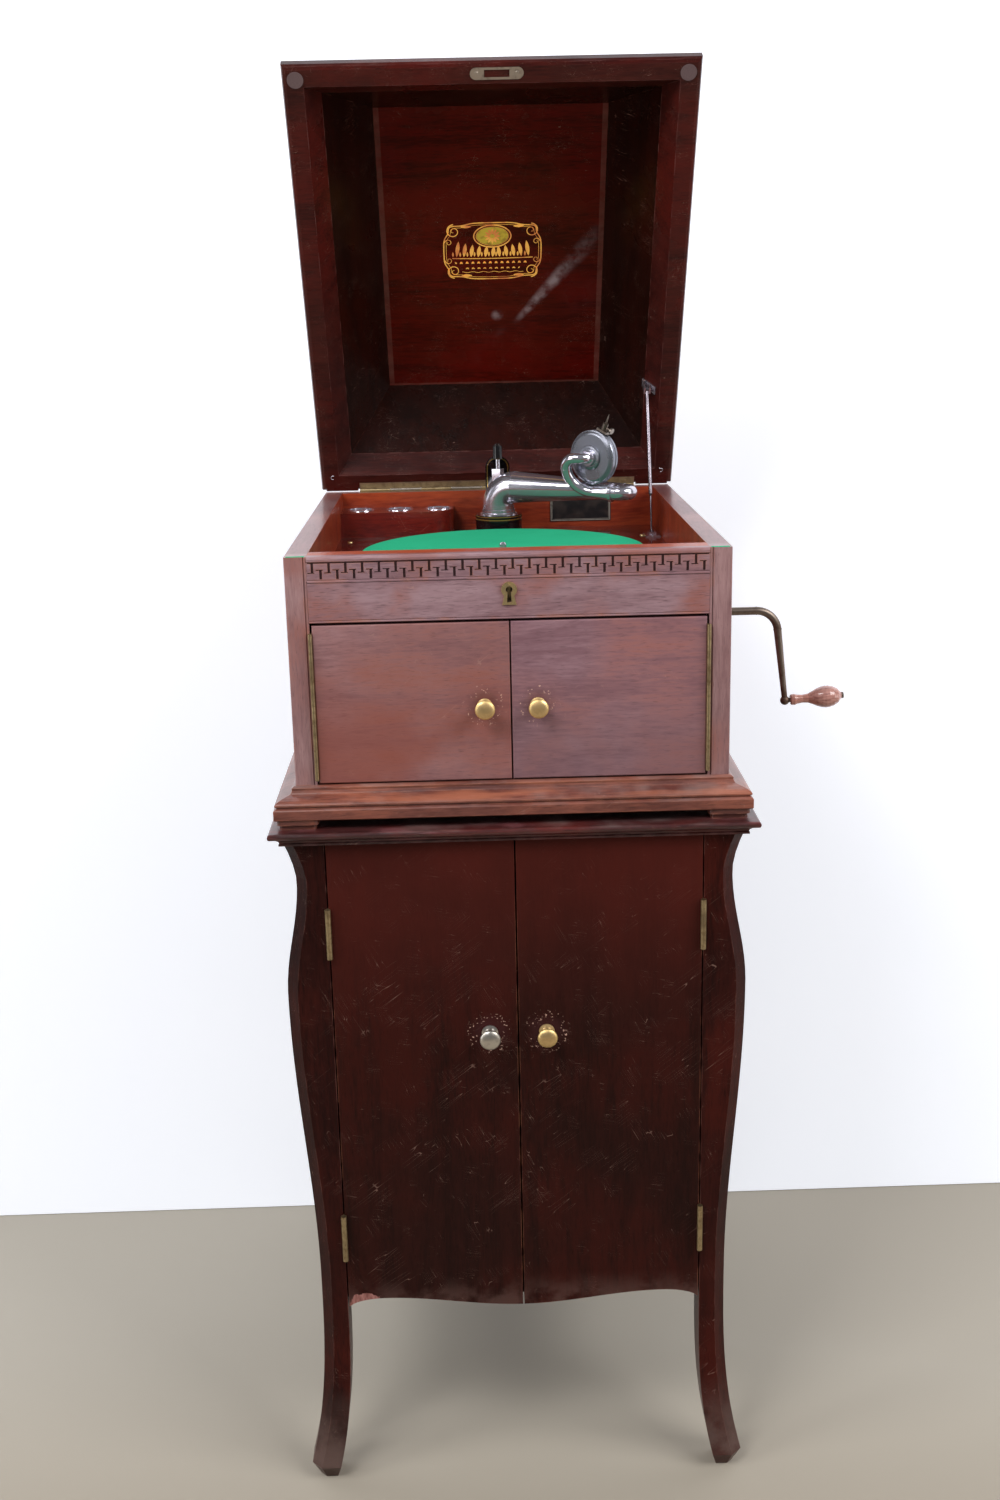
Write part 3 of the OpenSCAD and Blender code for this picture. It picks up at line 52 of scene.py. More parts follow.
def feed_color(tree, socket, value):
    """As feed, but gives a plain colour its alpha."""
    feed(tree, socket, rgba(value) if isinstance(value, tuple) else value)


def add(tree, kind, values=None, **settings):
    """One shader node; values are numbers or sockets by input name or index."""
    node = tree.nodes.new("ShaderNode" + kind)
    for key, value in settings.items():
        setattr(node, key, value)
    for key, value in (values or {}).items():
        feed(tree, node.inputs[key], value)
    return node


def math_node(tree, operation, a, b=0.0):
    return add(tree, "Math", {0: a, 1: b}, operation=operation).outputs[0]


def plus(tree, a, b):
    return math_node(tree, "ADD", a, b)


def minus(tree, a, b):
    return math_node(tree, "SUBTRACT", a, b)


def times(tree, a, b):
    return math_node(tree, "MULTIPLY", a, b)


def larger(tree, a, b):
    return math_node(tree, "MAXIMUM", a, b)


def absolute(tree, a):
    return math_node(tree, "ABSOLUTE", a)


def length(tree, a, b):
    """Length of the vector (a, b)."""
    return math_node(tree, "SQRT", plus(tree, times(tree, a, a), times(tree, b, b)))


def step(tree, value, low, high):
    """Smooth step of value: 0 at low and 1 at high."""
    limits = {"Value": value, "From Min": low, "From Max": high}
    return add(tree, "MapRange", limits, interpolation_type="SMOOTHSTEP").outputs[0]


def noise(tree, vector, scale, detail=2.0, rough=0.5):
    values = {"Vector": vector, "Scale": scale, "Detail": detail, "Roughness": rough}
    return add(tree, "TexNoise", values).outputs["Fac"]


def stretched(tree, vector, factors):
    """Vector times factors: a small factor draws a pattern out along that axis."""
    return add(tree, "VectorMath", {0: vector, 1: factors}, operation="MULTIPLY").outputs[0]


def turned(tree, vector, axis, angle, centre=(0, 0, 0)):
    """Vector turned by angle about the axis through centre."""
    values = {0: vector, "Center": centre, "Angle": angle}
    return add(tree, "VectorRotate", values, rotation_type=axis + "_AXIS").outputs[0]


def mix(tree, fac, a, b):
    """Colour a where fac is 0 and colour b where it is 1."""
    node = add(tree, "Mix", {0: fac}, data_type="RGBA")
    feed_color(tree, node.inputs[6], a)
    feed_color(tree, node.inputs[7], b)
    return node.outputs[2]


def srgb(r, g, b):
    """Linear colour from 0-255 sRGB."""
    return tuple(((v / 255 + 0.055) / 1.055) ** 2.4 if v > 10 else v / 255 / 12.92 for v in (r, g, b))


def group(name, numbers, results, build):
    """Shader node group with a Vector and named numbers in; build(tree, in, out) wires it."""
    tree = bpy.data.node_groups.new(name, "ShaderNodeTree")
    tree.interface.new_socket("Vector", in_out="INPUT", socket_type="NodeSocketVector")
    for label in numbers:
        tree.interface.new_socket(label, in_out="INPUT", socket_type="NodeSocketFloat")
    for label in results:
        tree.interface.new_socket(label, in_out="OUTPUT", socket_type="NodeSocketFloat")
    start = tree.nodes.new("NodeGroupInput")
    end = tree.nodes.new("NodeGroupOutput")
    build(tree, start.outputs, end.inputs)
    return tree


def use(tree, shared, **values):
    """Outputs of a shared group, fed with values by input name."""
    node = tree.nodes.new("ShaderNodeGroup")
    node.node_tree = shared
    for key, value in values.items():
        feed(tree, node.inputs[key], value)
    return node.outputs


# ---------------------------------------------------------------- shared effects


def build_grain(tree, inside, out):
    """Wood figure: wide bands, fine streaks and short dark pores along Z of Vector."""
    vec = stretched(tree, inside["Vector"], (1.0, 1.0, 0.12))
    bend = add(tree, "TexNoise", {"Vector": vec, "Scale": 9.0, "Detail": 3.0}).outputs["Color"]
    bend = add(tree, "VectorMath", {0: bend, "Scale": 0.05}, operation="SCALE").outputs[0]
    bent = add(tree, "VectorMath", {0: vec, 1: bend}, operation="ADD").outputs[0]
    wide = noise(tree, bent, 38.0, 5.0, 0.6)
    fine = noise(tree, bent, 420.0, 3.0, 0.55)
    short = stretched(tree, inside["Vector"], (1.0, 1.0, 0.06))
    pore = step(tree, noise(tree, short, 1500.0, 1.0), 0.6, 0.7)
    both = plus(tree, times(tree, wide, inside["Figure"]), times(tree, fine, inside["Streaks"]))
    total = plus(tree, inside["Figure"], inside["Streaks"])
    tree.links.new(step(tree, math_node(tree, "DIVIDE", both, total), 0.33, 0.67), out["Fac"])
    tree.links.new(pore, out["Pores"])
    tree.links.new(minus(tree, times(tree, fine, 0.4), pore), out["Height"])


def build_edges(tree, inside, out):
    """Rubbed corners: where a rounded normal leaves the true one, broken up by noise."""
    rounded = add(tree, "Bevel", {"Radius": 0.0015}, samples=4).outputs[0]
    normal = add(tree, "NewGeometry").outputs["Normal"]
    same = add(tree, "VectorMath", {0: rounded, 1: normal}, operation="DOT_PRODUCT").outputs["Value"]
    edge = step(tree, same, 0.995, 0.86)
    rubbed = times(tree, edge, step(tree, noise(tree, inside["Vector"], 60.0, 5.0), 0.42, 0.62))
    tree.links.new(times(tree, rubbed, inside["Amount"]), out["Mask"])


def build_patches(tree, inside, out):
    """Soft irregular patches, as faded or rubbed polish has."""
    spots = noise(tree, inside["Vector"], inside["Scale"], 5.0, 0.55)
    tree.links.new(step(tree, spots, inside["Low"], inside["High"]), out["Mask"])


def build_scratches(tree, inside, out):
    """Thin scratches in three directions, few and far apart."""
    marks = None
    for turn, scale, stretch in ((0.5, 90.0, 0.05), (-0.9, 60.0, 0.04), (1.4, 130.0, 0.06)):
        vec = turned(tree, inside["Vector"], "Y", turn)
        lines = noise(tree, stretched(tree, vec, (1.0, 1.0, stretch)), scale * 4, 0.0)
        line = step(tree, absolute(tree, minus(tree, lines, 0.5)), 0.006, 0.0)
        where = noise(tree, inside["Vector"], scale * 0.35)
        line = times(tree, line, step(tree, where, 0.56, 0.66))
        marks = line if marks is None else larger(tree, marks, line)
    tree.links.new(times(tree, marks, inside["Amount"]), out["Mask"])


def build_dust(tree, inside, out):
    """Dust that lies on upward faces and in specks everywhere."""
    up = add(tree, "SeparateXYZ", {0: add(tree, "NewGeometry").outputs["Normal"]}).outputs[2]
    cloud = noise(tree, inside["Vector"], 25.0, 8.0)
    lying = times(tree, step(tree, up, 0.2, 0.95), step(tree, cloud, 0.4, 0.7))
    speck = add(tree, "TexVoronoi", {"Vector": inside["Vector"], "Scale": 260.0}).outputs["Distance"]
    speck = times(tree, step(tree, speck, 0.12, 0.05), step(tree, cloud, 0.5, 0.62))
    dust = larger(tree, lying, times(tree, speck, 0.6))
    tree.links.new(times(tree, dust, inside["Amount"]), out["Mask"])


GRAIN = group("wood_grain", ["Figure", "Streaks"], ["Fac", "Pores", "Height"], build_grain)
EDGES = group("edge_wear", ["Amount"], ["Mask"], build_edges)
PATCHES = group("faded_patches", ["Scale", "Low", "High"], ["Mask"], build_patches)
SCRATCHES = group("scratches", ["Amount"], ["Mask"], build_scratches)
DUST = group("dust", ["Amount"], ["Mask"], build_dust)

# ---------------------------------------------------------------- materials


class Paint:
    """A material under construction, with its object coordinates at hand."""

    def __init__(self, name):
        self.mat = bpy.data.materials.new(name)
        self.mat.use_nodes = True
        self.tree = self.mat.node_tree
        self.bsdf = self.tree.nodes["Principled BSDF"]
        self.pos = add(self.tree, "TexCoord").outputs["Object"]
        xyz = add(self.tree, "SeparateXYZ", {0: self.pos}).outputs
        self.x, self.y, self.z = xyz[0], xyz[1], xyz[2]

    def set(self, **values):
        """Inputs of the main shader; underscores stand for spaces."""
        for key, value in values.items():
            feed_color(self.tree, self.bsdf.inputs[key.replace("_", " ")], value)
        return self

    def bump(self, height, strength, distance):
        node = add(self.tree, "Bump", {"Height": height, "Strength": strength, "Distance": distance})
        self.tree.links.new(node.outputs[0], self.bsdf.inputs["Normal"])

    def between(self, axis, low, high, soft):
        """1 where the coordinate lies between low and high, with soft ends."""
        t = self.tree
        return times(t, step(t, axis, low - soft, low + soft), step(t, axis, high + soft, high - soft))

    def patches(self, scale, low, high, vector=None):
        """Soft patches in the piece's own coordinates, or in those of vector."""
        base = self.pos if vector is None else vector
        return use(self.tree, PATCHES, Vector=base, Scale=scale, Low=low, High=high)["Mask"]


QUARTER = math.pi / 2
SCRATCH_TONE = srgb(190, 150, 135)
DUST_TONE = srgb(170, 155, 150)


def wood(name, light, dark, red, along="x", patch=(6.0, 0.42, 0.6), wear=0.5,
         wear_color=srgb(176, 112, 84), rough=0.34, coat=0.25, coat_rough=0.12, dust=0.12,
         scratch=0.3, vector=None, figure=1.0, streaks=0.6, extra=None, shine=0.5):
    """Polished wood.

    light and dark are the grain's colours, along is the axis that the grain follows. red shows where
    the polish is fuller, in patches of (scale, low, high). extra(paint, colour) adds what one piece
    alone has.
    """
    p = Paint(name)
    t = p.tree
    base = p.pos if vector is None else vector(p)
    vec = base
    if along == "x":
        vec = turned(t, base, "Y", QUARTER)
    elif along == "y":
        vec = turned(t, base, "X", QUARTER)
    g = use(t, GRAIN, Vector=vec, Figure=figure, Streaks=streaks)
    col = mix(t, g["Fac"], dark, light)
    fade = p.patches(*patch, base)
    col = mix(t, times(t, fade, step(t, g["Fac"], -0.3, 1.0)), col, red)
    col = mix(t, times(t, g["Pores"], 0.45), col, tuple(v * 0.35 for v in dark))
    rub = use(t, EDGES, Vector=base, Amount=wear)["Mask"]
    col = mix(t, rub, col, wear_color)
    col = mix(t, use(t, SCRATCHES, Vector=base, Amount=scratch)["Mask"], col, SCRATCH_TONE)
    dirt = use(t, DUST, Vector=base, Amount=dust)["Mask"]
    col = mix(t, dirt, col, DUST_TONE)
    if extra:
        col = extra(p, col)
    roughness = plus(t, times(t, fade, -0.05), rough)
    roughness = plus(t, roughness, times(t, larger(t, rub, dirt), 0.3))
    p.set(Base_Color=col, Roughness=roughness, Coat_Weight=coat, Coat_Roughness=coat_rough,
          Specular_IOR_Level=shine)
    p.bump(g["Height"], 0.25, 0.0002)
    return p.mat


def metal(name, color, rough, tarnish, tarnish_amount, scale=40.0, scratch=0.25, extra=None,
          metallic=1.0, glow=0.0):
    """Metal with tarnish patches and fine scratches; glow lifts gilding in the lid's shade."""
    p = Paint(name)
    t = p.tree
    spots = p.patches(scale, 0.45, 0.65)
    col = mix(t, times(t, spots, tarnish_amount), color, tarnish)
    scr = use(t, SCRATCHES, Vector=p.pos, Amount=scratch)["Mask"]
    if extra:
        col = extra(p, col)
    roughness = plus(t, plus(t, rough, times(t, spots, 0.14)), times(t, scr, 0.25))
    p.set(Base_Color=col, Roughness=roughness, Metallic=metallic)
    if glow:
        p.set(Emission_Color=col, Emission_Strength=glow)
    p.bump(scr, 0.08, 0.0001)
    return p.mat


# knobs of the doors: distance from the middle, height and radius
CASE_KNOB = (0.0255, 0.846, 0.0096)
STAND_KNOB = (0.0285, 0.513, 0.0105)


def knob_halo(p, col, side, knob):
    """Darker ring and pale scratches on a door around its knob."""
    t = p.tree
    from_middle, height, r = knob
    dist = length(t, minus(t, p.x, side * from_middle), minus(t, p.z, height))
    ragged = plus(t, dist, times(t, noise(t, p.pos, 130.0, 4.0), 0.012))
    col = mix(t, times(t, step(t, ragged, r * 2.9, r * 1.2), 0.5), col, srgb(70, 40, 42))
    ring = times(t, step(t, dist, r * 1.15, r * 1.4), step(t, dist, r * 2.4, r * 1.8))
    nicks = times(t, ring, step(t, noise(t, p.pos, 420.0, 6.0), 0.63, 0.68))
    return mix(t, times(t, nicks, 0.75), col, srgb(235, 190, 170))


MAUVE = srgb(164, 124, 126)
MAUVE_DARK = srgb(128, 90, 93)
RUSSET = srgb(150, 96, 88)
STAND = srgb(56, 23, 20)
STAND_DARK = srgb(38, 17, 15)
STAND_RED = srgb(68, 23, 18)
DOOR = srgb(47, 20, 16)
DOOR_DARK = srgb(33, 15, 12)
DOOR_RED = srgb(57, 20, 15)


def left_door_extra(p, col):
    """Redder patches towards the foot of the left door."""
    t = p.tree
    low = times(t, step(t, p.z, 0.93, 0.80), p.patches(9.0, 0.35, 0.6))
    col = mix(t, times(t, low, 0.6), col, srgb(136, 68, 54))
    return knob_halo(p, col, -1, CASE_KNOB)


def right_door_extra(p, col):
    """Painted shade: greyer and darker towards the foot of the right door."""
    t = p.tree
    # painted shade, a darkening gradient low on the door
    col = mix(t, times(t, step(t, p.z, 0.88, 0.79), 0.4), col, srgb(104, 76, 82))
    return knob_halo(p, col, 1, CASE_KNOB)


case_door_l = wood("left_case_door", MAUVE, MAUVE_DARK, RUSSET, patch=(7.0, 0.36, 0.6),
                   extra=left_door_extra)
case_door_r = wood("right_case_door", srgb(160, 124, 132), srgb(126, 90, 98), srgb(158, 102, 96),
                   patch=(6.0, 0.46, 0.66), extra=right_door_extra)

# the cut band of the fretted rail, and the depth that its cuts reach
FRET_BAND = (0.9718, 0.9874)
FRET_DEPTH = (-0.2410, -0.2404)


def fret_shade(p, col):
    """Painted shade in the bottom of the cut fret, and an orange rub on the rail's upper inner edge."""
    t = p.tree
    cut_shade = times(t, p.between(p.z, *FRET_BAND, 0.0003), step(t, p.y, *FRET_DEPTH))
    # painted shade, dark in the bottom of the fret cuts
    col = mix(t, times(t, cut_shade, 0.85), col, srgb(40, 18, 16))
    inner = times(t, step(t, p.z, 0.9905, 0.9925), step(t, p.y, -0.2345, -0.2285))
    rubbed = plus(t, times(t, p.patches(40.0, 0.3, 0.5), 0.5), 0.4)
    return mix(t, times(t, inner, rubbed), col, srgb(176, 78, 44))


front_rail = wood("front_rails", srgb(163, 132, 138), srgb(129, 97, 103), RUSSET,
                  patch=(9.0, 0.45, 0.64), wear=0.7, extra=fret_shade, coat=0.1, shine=0.25)
stiles = wood("stiles", srgb(168, 132, 132), srgb(131, 95, 96), RUSSET, along="z",
              patch=(8.0, 0.48, 0.66), wear=0.7)

# room between the walls of the case, across and from front to back
INNER_X = (-0.1896, 0.1896)
INNER_Y = (-0.2205, 0.2536)


def inner_case(p, col):
    """Inner faces of the case keep their bright orange-red polish."""
    t = p.tree
    inside = times(t, p.between(p.x, *INNER_X, 0.0003), p.between(p.y, *INNER_Y, 0.0003))
    g = use(t, GRAIN, Vector=turned(t, p.pos, "Y", QUARTER), Figure=1.0, Streaks=0.7)
    return mix(t, inside, col, mix(t, g["Fac"], srgb(112, 34, 18), srgb(164, 66, 34)))


walls = wood("case_veneer", srgb(142, 94, 92), srgb(104, 62, 62), srgb(146, 78, 66), along="y",
             patch=(5.0, 0.45, 0.62), extra=inner_case, wear=0.6, coat=0.2)
block_wood = wood("needle_block", srgb(104, 32, 26), srgb(70, 20, 18), srgb(110, 30, 22),
                  patch=(12.0, 0.4, 0.6), wear=0.2, rough=0.24, coat=0.6, coat_rough=0.06)
board_wood = wood("motor_board", srgb(96, 30, 22), srgb(60, 18, 14), srgb(100, 28, 18),
                  patch=(7.0, 0.4, 0.6), wear=0.1, rough=0.22, coat=0.6, coat_rough=0.05, dust=0.2)


def base_extra(p, col):
    """Pale wear in short level streaks on the ogee of the base."""
    t = p.tree
    worn = p.patches(8.0, 0.42, 0.66, stretched(t, p.pos, (1.0, 1.0, 14.0)))
    ogee = p.between(p.z, 0.757, 0.7705, 0.003)
    return mix(t, times(t, times(t, worn, ogee), 0.55), col, srgb(186, 112, 82))


base_wood = wood("base_moulding", srgb(124, 72, 62), srgb(86, 44, 38), srgb(146, 84, 66),
                 patch=(9.0, 0.42, 0.62), wear=0.8, extra=base_extra, dust=0.25)
foot_wood = wood("foot_pads", srgb(120, 70, 60), srgb(80, 44, 40), srgb(140, 80, 62),
                 patch=(20.0, 0.4, 0.6), wear=0.8)


def stand_top_extra(p, col):
    """Thin level streaks of pale wear."""
    t = p.tree
    worn = p.patches(14.0, 0.58, 0.7, stretched(t, p.pos, (1.0, 1.0, 20.0)))
    return mix(t, times(t, worn, 0.5), col, srgb(130, 78, 82))


top_wood = wood("stand_top", srgb(76, 36, 36), srgb(46, 20, 21), srgb(92, 34, 30),
                patch=(10.0, 0.44, 0.62), wear=0.7, wear_color=srgb(150, 100, 100),
                extra=stand_top_extra, dust=0.2)


def chipped_veneer(p, col):
    """Bare wood where the veneer is chipped off at the foot of the left stand door."""
    t = p.tree
    dx = plus(t, p.x, 0.165)
    dz = minus(t, p.z, 0.209)
    far = math_node(t, "SQRT", plus(t, times(t, dx, times(t, dx, 0.35)), times(t, dz, dz)))
    ragged = plus(t, far, times(t, noise(t, p.pos, 160.0, 5.0), 0.012))
    raw = use(t, GRAIN, Vector=p.pos, Figure=0.4, Streaks=1.0)["Fac"]
    bare = mix(t, raw, srgb(120, 72, 66), srgb(176, 124, 116))
    return mix(t, step(t, ragged, 0.0165, 0.0155), col, bare)


def stand_door_extra(side):
    """Warmer polish high up and grime at the foot; side is -1 for the left door and 1 for the right."""

    def paint(p, col):
        t = p.tree
        full = plus(t, times(t, p.patches(4.0, 0.38, 0.6), 0.3), 0.6)
        col = mix(t, times(t, step(t, p.z, 0.48, 0.74), full), col, srgb(84, 32, 26))
        grime = times(t, p.patches(30.0, 0.4, 0.6), 0.6)
        col = mix(t, times(t, step(t, p.z, 0.24, 0.205), grime), col, srgb(96, 70, 64))
        col = knob_halo(p, col, side, STAND_KNOB)
        return chipped_veneer(p, col) if side < 0 else col

    return paint


stand_args = dict(along="z", rough=0.36, coat=0.02, coat_rough=0.14, dust=0.05, scratch=0.35, shine=0.08)
stand_door_l = wood("left_stand_door", DOOR, DOOR_DARK, DOOR_RED, patch=(4.0, 0.42, 0.62),
                    extra=stand_door_extra(-1), **stand_args)
stand_door_r = wood("right_stand_door", DOOR, DOOR_DARK, DOOR_RED, patch=(4.5, 0.42, 0.62),
                    extra=stand_door_extra(1), **stand_args)


def leg_extra(p, col):
    """Grime towards the feet."""
    t = p.tree
    grime = plus(t, times(t, p.patches(26.0, 0.34, 0.62), 0.6), 0.25)
    return mix(t, times(t, step(t, p.z, 0.12, 0.01), grime), col, srgb(104, 84, 78))


leg_wood = wood("stand_legs", srgb(54, 20, 16), srgb(32, 12, 10), srgb(66, 22, 16),
                patch=(5.0, 0.42, 0.62), extra=leg_extra, wear=0.55, wear_color=srgb(150, 100, 90),
                **stand_args)
panel_wood = wood("stand_panels", STAND, STAND_DARK, STAND_RED, patch=(5.0, 0.42, 0.62), **stand_args)
plain_wood = wood("plain_wood", srgb(150, 112, 78), srgb(110, 76, 50), srgb(140, 96, 60), along="z",
                  wear=0.3, rough=0.6, coat=0.0, dust=0.3)

HINGE = (0.0, 0.272, 0.994)
OPEN = math.radians(61.8)


def shut(p):
    """Coordinates of the lid as if it were shut."""
    return turned(p.tree, p.pos, "X", OPEN, HINGE)


def outside_of_lid(p):
    """1 on the faces that look up when the lid is shut."""
    t = p.tree
    world_normal = add(t, "NewGeometry").outputs["Normal"]
    normal = add(t, "VectorTransform", {0: world_normal}, vector_type="NORMAL",
                 convert_from="WORLD", convert_to="OBJECT").outputs[0]
    up = add(t, "SeparateXYZ", {0: turned(t, normal, "X", OPEN)}).outputs[2]
    return step(t, up, 0.0, 0.05)


def lid_outside(p, col):
    """Outer faces of slopes and panel in the rim's own finish, with the polish a little faded."""
    t = p.tree
    g = use(t, GRAIN, Vector=turned(t, shut(p), "Y", QUARTER), Figure=1.0, Streaks=0.6)
    wood_color = mix(t, g["Fac"], srgb(62, 27, 23), srgb(98, 46, 40))
    faded = p.patches(6.0, 0.42, 0.64)
    wood_color = mix(t, times(t, faded, 0.5), wood_color, srgb(112, 62, 58))
    rub = use(t, EDGES, Vector=p.pos, Amount=0.6)["Mask"]
    wood_color = mix(t, rub, wood_color, srgb(150, 100, 90))
    return mix(t, outside_of_lid(p), col, wood_color)


# painted highlight on the lid's inner panel, a gloss streak in x and y of the shut lid: its start, its
# direction, the dot beside it
GLOSS_START = (0.026, 0.103)
GLOSS_WAY = (0.65, -0.76)
GLOSS_DOT = (0.0045, 0.093)
# seams of the panel with the slopes: distance from the middle, and y of the rear one
SEAM_X = (0.1226, 0.1234)
SEAM_Y = (0.1832, 0.184)


def panel_gloss_and_seam(p, col):
    """Painted highlight: a pale gloss streak across the panel and a dot beside it, and the pale seam
    where the panel meets the slopes.
    """
    t = p.tree
    xyz = add(t, "SeparateXYZ", {0: shut(p)}).outputs
    x, y = xyz[0], xyz[1]
    dx = minus(t, x, GLOSS_START[0])
    dy = minus(t, y, GLOSS_START[1])
    along = plus(t, times(t, dx, GLOSS_WAY[0]), times(t, dy, GLOSS_WAY[1]))
    across = absolute(t, plus(t, times(t, dx, -GLOSS_WAY[1]), times(t, dy, GLOSS_WAY[0])))
    width = plus(t, 0.004, times(t, along, 0.05))
    ends = times(t, step(t, along, -0.004, 0.03), step(t, along, 0.17, 0.06))
    streak = times(t, step(t, math_node(t, "DIVIDE", across, width), 1.3, 0.1), ends)
    dot = step(t, length(t, minus(t, x, GLOSS_DOT[0]), minus(t, y, GLOSS_DOT[1])), 0.009, 0.001)
    broken = noise(t, p.pos, 70.0, 5.0)
    painted_gloss = times(t, larger(t, streak, times(t, dot, 0.8)), step(t, broken, 0.3, 0.7))
    # painted highlight, the pale gloss streak and dot
    col = mix(t, times(t, painted_gloss, 0.62), col, srgb(206, 184, 190))
    seam = larger(t, step(t, absolute(t, x), *SEAM_X), step(t, y, *SEAM_Y))
    col = mix(t, times(t, seam, times(t, broken, 0.6)), col, srgb(150, 96, 86))
    return lid_outside(p, col)


lid_args = dict(vector=shut, wear=0.1, rough=0.3, coat=0.08, coat_rough=0.1, dust=0.0, scratch=0.4,
                shine=0.12)
lid_inner = wood("lid_slopes", srgb(37, 12, 7), srgb(22, 7, 4), srgb(44, 12, 6), along="y",
                 patch=(5.0, 0.42, 0.62), extra=lid_outside, **lid_args)
lid_panel = wood("lid_panel", srgb(98, 22, 9), srgb(61, 12, 5), srgb(108, 16, 9),
                 patch=(5.0, 0.4, 0.62), extra=panel_gloss_and_seam, **lid_args)
lid_edge = wood("lid_rim", srgb(72, 27, 22), srgb(44, 14, 12), srgb(80, 22, 17), vector=shut,
                patch=(6.0, 0.42, 0.62), wear_color=srgb(140, 92, 88), rough=0.3, coat=0.08,
                coat_rough=0.08, dust=0.04, scratch=0.4, shine=0.15)


def dull_spots(p, col):
    """Small darker spots in the brass of the hinges."""
    return mix(p.tree, times(p.tree, p.patches(220.0, 0.5, 0.62), 0.4), col, srgb(110, 86, 52))


def knob_face(p, col):
    """Brighter rim of a turned knob."""
    t = p.tree
    gen = add(t, "SeparateXYZ", {0: add(t, "TexCoord").outputs["Generated"]}).outputs
    dist = length(t, minus(t, gen[0], 0.5), minus(t, gen[2], 0.5))
    return mix(t, times(t, step(t, dist, 0.36, 0.46), 0.6), col, srgb(250, 222, 150))


hinge_brass = metal("hinge_brass", srgb(178, 158, 122), 0.42, srgb(104, 84, 64), 0.6, extra=dull_spots)
knob_brass = metal("knob_brass", srgb(224, 192, 138), 0.42, srgb(168, 130, 80), 0.35, scale=90.0,
                   extra=knob_face)
lock_brass = metal("lock_brass", srgb(232, 206, 152), 0.34, srgb(150, 116, 70), 0.4, scale=160.0)
motor_brass = metal("motor_brass", srgb(196, 160, 96), 0.3, srgb(120, 90, 50), 0.4)
knob_nickel = metal("knob_nickel", srgb(206, 200, 190), 0.3, srgb(120, 104, 84), 0.35, scale=90.0)
nickel = metal("nickel", srgb(222, 218, 228), 0.12, srgb(168, 158, 172), 0.3, scale=16.0,
               scratch=0.05, metallic=0.9)
box_nickel = metal("sound_box_nickel", srgb(150, 152, 162), 0.26, srgb(112, 112, 124), 0.4,
                   scale=30.0, scratch=0.05, metallic=0.85)
rod_nickel = metal("rod_nickel", srgb(132, 124, 132), 0.24, srgb(92, 80, 86), 0.5, scale=60.0,
                   scratch=0.1, metallic=0.9)
dull_nickel = metal("dull_nickel", srgb(186, 176, 166), 0.3, srgb(124, 108, 96), 0.5, scale=120.0)
steel = metal("steel", srgb(150, 140, 132), 0.34, srgb(84, 66, 54), 0.6, scale=60.0)
crank_steel = metal("crank_steel", srgb(132, 118, 108), 0.4, srgb(84, 58, 46), 0.65, scale=50.0)
iron = metal("cast_iron", srgb(58, 56, 54), 0.55, srgb(36, 34, 34), 0.5, metallic=0.3)

ENAMEL = srgb(16, 15, 17)
GOLD_LINE = srgb(196, 160, 84)
# heights of the gold lines on the arm base
BASE_LINES = ((0.9662, 0.9672), (0.9698, 0.9706), (0.9506, 0.9514))
# arch of the bracket: height of its centre, and the gold line's inner and outer radius
ARCH_Z = 1.0235
ARCH_LINE = (0.0118, 0.0128)
CAP_Z = 1.0515
# data plate: middle in x and z, and half its width and height
PLATE = (0.101, 0.9675)
PLATE_HALF = (0.037, 0.0145)


def enamel():
    """Black enamel with thin gold lines round the arm base."""
    p = Paint("black_enamel")
    t = p.tree
    first, second, third = [p.between(p.z, low, high, 0.0002) for low, high in BASE_LINES]
    lines = times(t, larger(t, larger(t, first, second), third), p.patches(180.0, 0.3, 0.42))
    p.set(Base_Color=mix(t, lines, ENAMEL, GOLD_LINE), Roughness=0.16, Metallic=times(t, lines, 0.8),
          Coat_Weight=0.4, Coat_Roughness=0.05)
    p.bump(use(t, SCRATCHES, Vector=p.pos, Amount=0.3)["Mask"], 0.1, 0.0001)
    return p.mat


def bracket_enamel():
    """Black enamel with one gold line that follows the arch on the front face, and a nickel cap."""
    p = Paint("bracket_enamel")
    t = p.tree
    arch = p.between(length(t, p.x, minus(t, p.z, ARCH_Z)), *ARCH_LINE, 0.0002)
    arch = times(t, arch, step(t, p.z, ARCH_Z - 0.001, ARCH_Z + 0.0005))
    sides = p.between(absolute(t, p.x), *ARCH_LINE, 0.0002)
    sides = times(t, sides, step(t, p.z, ARCH_Z + 0.0005, ARCH_Z - 0.001))
    front = add(t, "SeparateXYZ", {0: add(t, "NewGeometry").outputs["Normal"]}).outputs[1]
    line = times(t, larger(t, arch, sides), step(t, front, -0.3, -0.5))
    cap = step(t, p.z, CAP_Z, CAP_Z + 0.0001)
    col = mix(t, cap, mix(t, line, ENAMEL, GOLD_LINE), srgb(216, 212, 214))
    p.set(Base_Color=col, Roughness=0.15, Metallic=larger(t, times(t, line, 0.8), cap),
          Coat_Weight=0.4, Coat_Roughness=0.05)
    return p.mat


def plate_enamel():
    """Blank data plate: black with a pale double border."""
    p = Paint("data_plate")
    t = p.tree
    from_side = minus(t, PLATE_HALF[0], absolute(t, minus(t, p.x, PLATE[0])))
    from_top = minus(t, PLATE_HALF[1], absolute(t, minus(t, p.z, PLATE[1])))
    edge = math_node(t, "MINIMUM", from_side, from_top)
    lines = larger(t, p.between(edge, 0.0007, 0.0015, 0.0001), p.between(edge, 0.0023, 0.0027, 0.0001))
    lines = times(t, lines, p.patches(150.0, 0.34, 0.5))
    col = mix(t, p.patches(60.0, 0.4, 0.66), srgb(22, 20, 22), srgb(48, 40, 38))
    col = mix(t, lines, col, srgb(196, 188, 176))
    p.set(Base_Color=col, Roughness=0.36, Metallic=times(t, lines, 0.6))
    return p.mat


